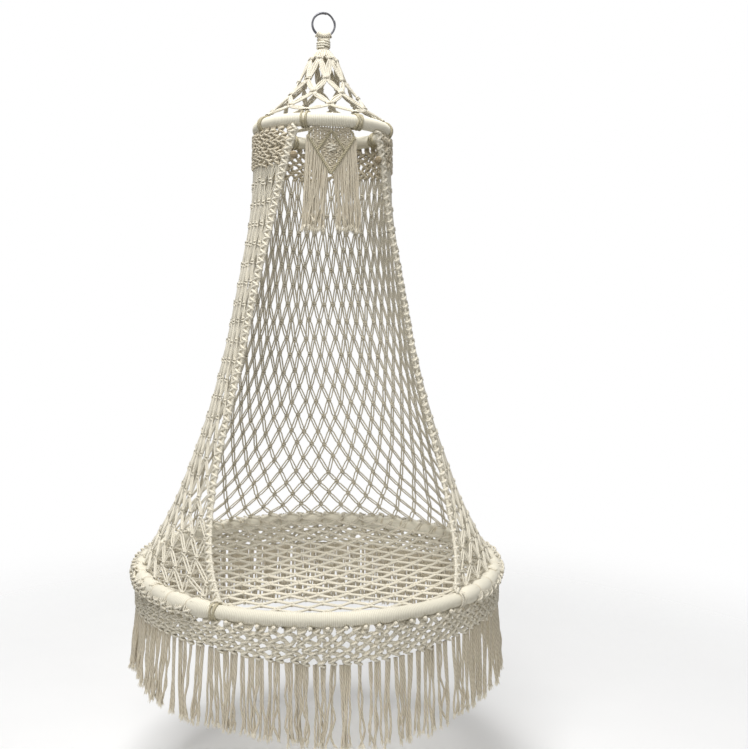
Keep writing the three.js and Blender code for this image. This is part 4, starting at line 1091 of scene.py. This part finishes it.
def on_hoop(azimuth, rise, lift=0.0):
    """A point on the lower hoop's beads, at an angle above the outermost line of the tube."""
    rise = math.radians(rise)
    reach = WINDING_RADIUS + BEAD_RISE + 0.001 + lift
    return polar(azimuth, LOWER_RADIUS + reach * math.cos(rise), LOWER_HEIGHT + reach * math.sin(rise))


def berries():
    """Small round knots just under the smooth front of the lower hoop."""
    reach = OPENING_HALF_ANGLE - BERRY_EDGE
    azimuth = np.arange(-reach, reach, BERRY_PITCH)
    azimuth = azimuth + jitter(len(azimuth), 0.5)
    across = across_at(azimuth)
    centre, up = facing(polar(azimuth, LOWER_RADIUS + BERRY_OUT, LOWER_HEIGHT - BERRY_DROP), UP)
    out = np.cross(across, up)
    knots = Strands()
    for first, second in ((across, up), (across + 0.6 * up, out), (up, out), (across - 0.6 * up, out)):
        knots.rings(centre, first, second, BERRY_REACH, BERRY_REACH, BERRY_CORD, 12, 6)
    knots.piece("skirt_berries", COTTON, "chair", "knotted_cord")


def fringe():
    """Bundles of loose cords all round the skirt, in the four quarters of the CAD."""
    names = ["front", "right", "back", "left"]
    azimuth = 360 * (np.arange(FRINGE_BUNDLES) + 0.5) / FRINGE_BUNDLES + jitter(FRINGE_BUNDLES, 0.35)
    behind = azimuth[np.abs(azimuth - 180) < 180 - FRINGE_DOUBLE_ANGLE]
    azimuth = np.concatenate([azimuth, behind + 180 / FRINGE_BUNDLES])
    inset = np.where(np.arange(len(azimuth)) < FRINGE_BUNDLES, 0.0, FRINGE_INSET)
    lean, sway = jitter(len(azimuth), FRINGE_LEAN), jitter(len(azimuth), FRINGE_SWAY)
    ends, drops = np.array(FRINGE_ENDS).T
    quarter = ((azimuth + 45) // 90).astype(int) % 4
    for index, name in enumerate(names):
        mine = np.flatnonzero(quarter == index)
        start = azimuth[mine]
        outward, along = polar(start, 1.0, 0.0), across_at(start)
        top = polar(start, SKIRT_RADIUS - inset[mine], SKIRT_TOP - skirt_depth(start) + 0.002)
        drop = np.interp(signed(start), ends, drops)
        tuft, frays = Strands(), Strands()
        for offset in FRINGE_OFFSETS:
            count = len(mine)
            inner = abs(offset) < max(FRINGE_OFFSETS)
            kept = random.random(count) < (1.0 if inner else FRINGE_OUTER_SHARE)
            head = top + offset * along + jitter((count, 1), 0.0008) * outward
            foot = head + (lean[mine][:, None] + offset * 0.2 + jitter((count, 1), 0.0032)) * along
            foot = foot + (FRINGE_FLARE + sway[mine][:, None] + jitter((count, 1), 0.0018)) * outward
            foot[:, 2] = LOWER_HEIGHT - drop + 0.004 + jitter(count, 0.0035)
            hang(tuft, frays, head[kept], foot[kept], outward[kept], *FRINGE_HANG)
        # Painted shade: the fringe takes the darker copy of the cotton
        tuft.piece(f"skirt_strands_{name}", SHADED_FRINGE, "chair", "cotton_cord", f"skirt_fringe_{name}")
        frays.piece(f"skirt_frays_{name}", FRAY, "chair", "cotton_cord")


def floor():
    mesh = bpy.data.meshes.new("floor")
    reach = FLOOR_END + 0.1
    mesh.from_pydata([(-reach, -reach, 0), (reach, -reach, 0), (reach, reach, 0), (-reach, reach, 0)], [],
                     [(0, 1, 2, 3)])
    mesh.materials.append(floor_paint())
    made = bpy.data.objects.new("floor", mesh)
    made.location = (0, 0, FLOOR_HEIGHT)
    bpy.context.scene.collection.objects.link(made)


COTTON = cotton("cotton", (0.86, 0.81, 0.68), (0.60, 0.53, 0.39))
WOUND = cotton("wound_cotton", (0.86, 0.82, 0.69), (0.66, 0.60, 0.46), 0, TURN_PITCH, 0.0003)
# Painted shade: a darker copy of the cotton, for the upper band's knots, the loops in the pinches of the
# lower hoop and the ornament's knots
SHADED_COTTON = cotton("shaded_cotton", (0.76, 0.69, 0.54), (0.48, 0.40, 0.27))
# Painted shade: a darker copy of the cotton for the loose cords of the fringe and the ornament's tufts
SHADED_FRINGE = cotton("shaded_loose_cotton", (0.72, 0.65, 0.51), (0.50, 0.43, 0.31), 3, 0.0120, 0.0004)
FRAY = cotton("frayed_cotton", (0.88, 0.82, 0.68), (0.80, 0.73, 0.58), 1, 0.0200, 0.0001)
# Painted shade: the corner knots are cream cotton, drawn dark brown for the shade on them
SHADED_BERRY = cotton("shaded_berry_cotton", (0.42, 0.34, 0.22), (0.25, 0.19, 0.11))
# Painted shade: a dark olive copy of the cotton for the upper lashings, the left foot lashing and the
# ornament's ridges
DEEP_SHADE_COTTON = cotton("deep_shade_cotton", (0.58, 0.52, 0.36), (0.32, 0.28, 0.17))
RING_STEEL = steel("ring_steel", (0.12, 0.12, 0.13), 0.2)
TUBE_STEEL = steel("tube_steel", (0.45, 0.46, 0.48), 0.35)

camera_and_light()
white_world()
floor()
hanging_ring()
loop_and_neck()
crown_net()
hoops()
body_net()
edge_braids()
seat_net()
skirt()
fringe()
front_ornament()
for node in ("upper_hoop", "lower_hoop"):
    for place in frame["nodes"][node].material_slots:
        place.material = TUBE_STEEL
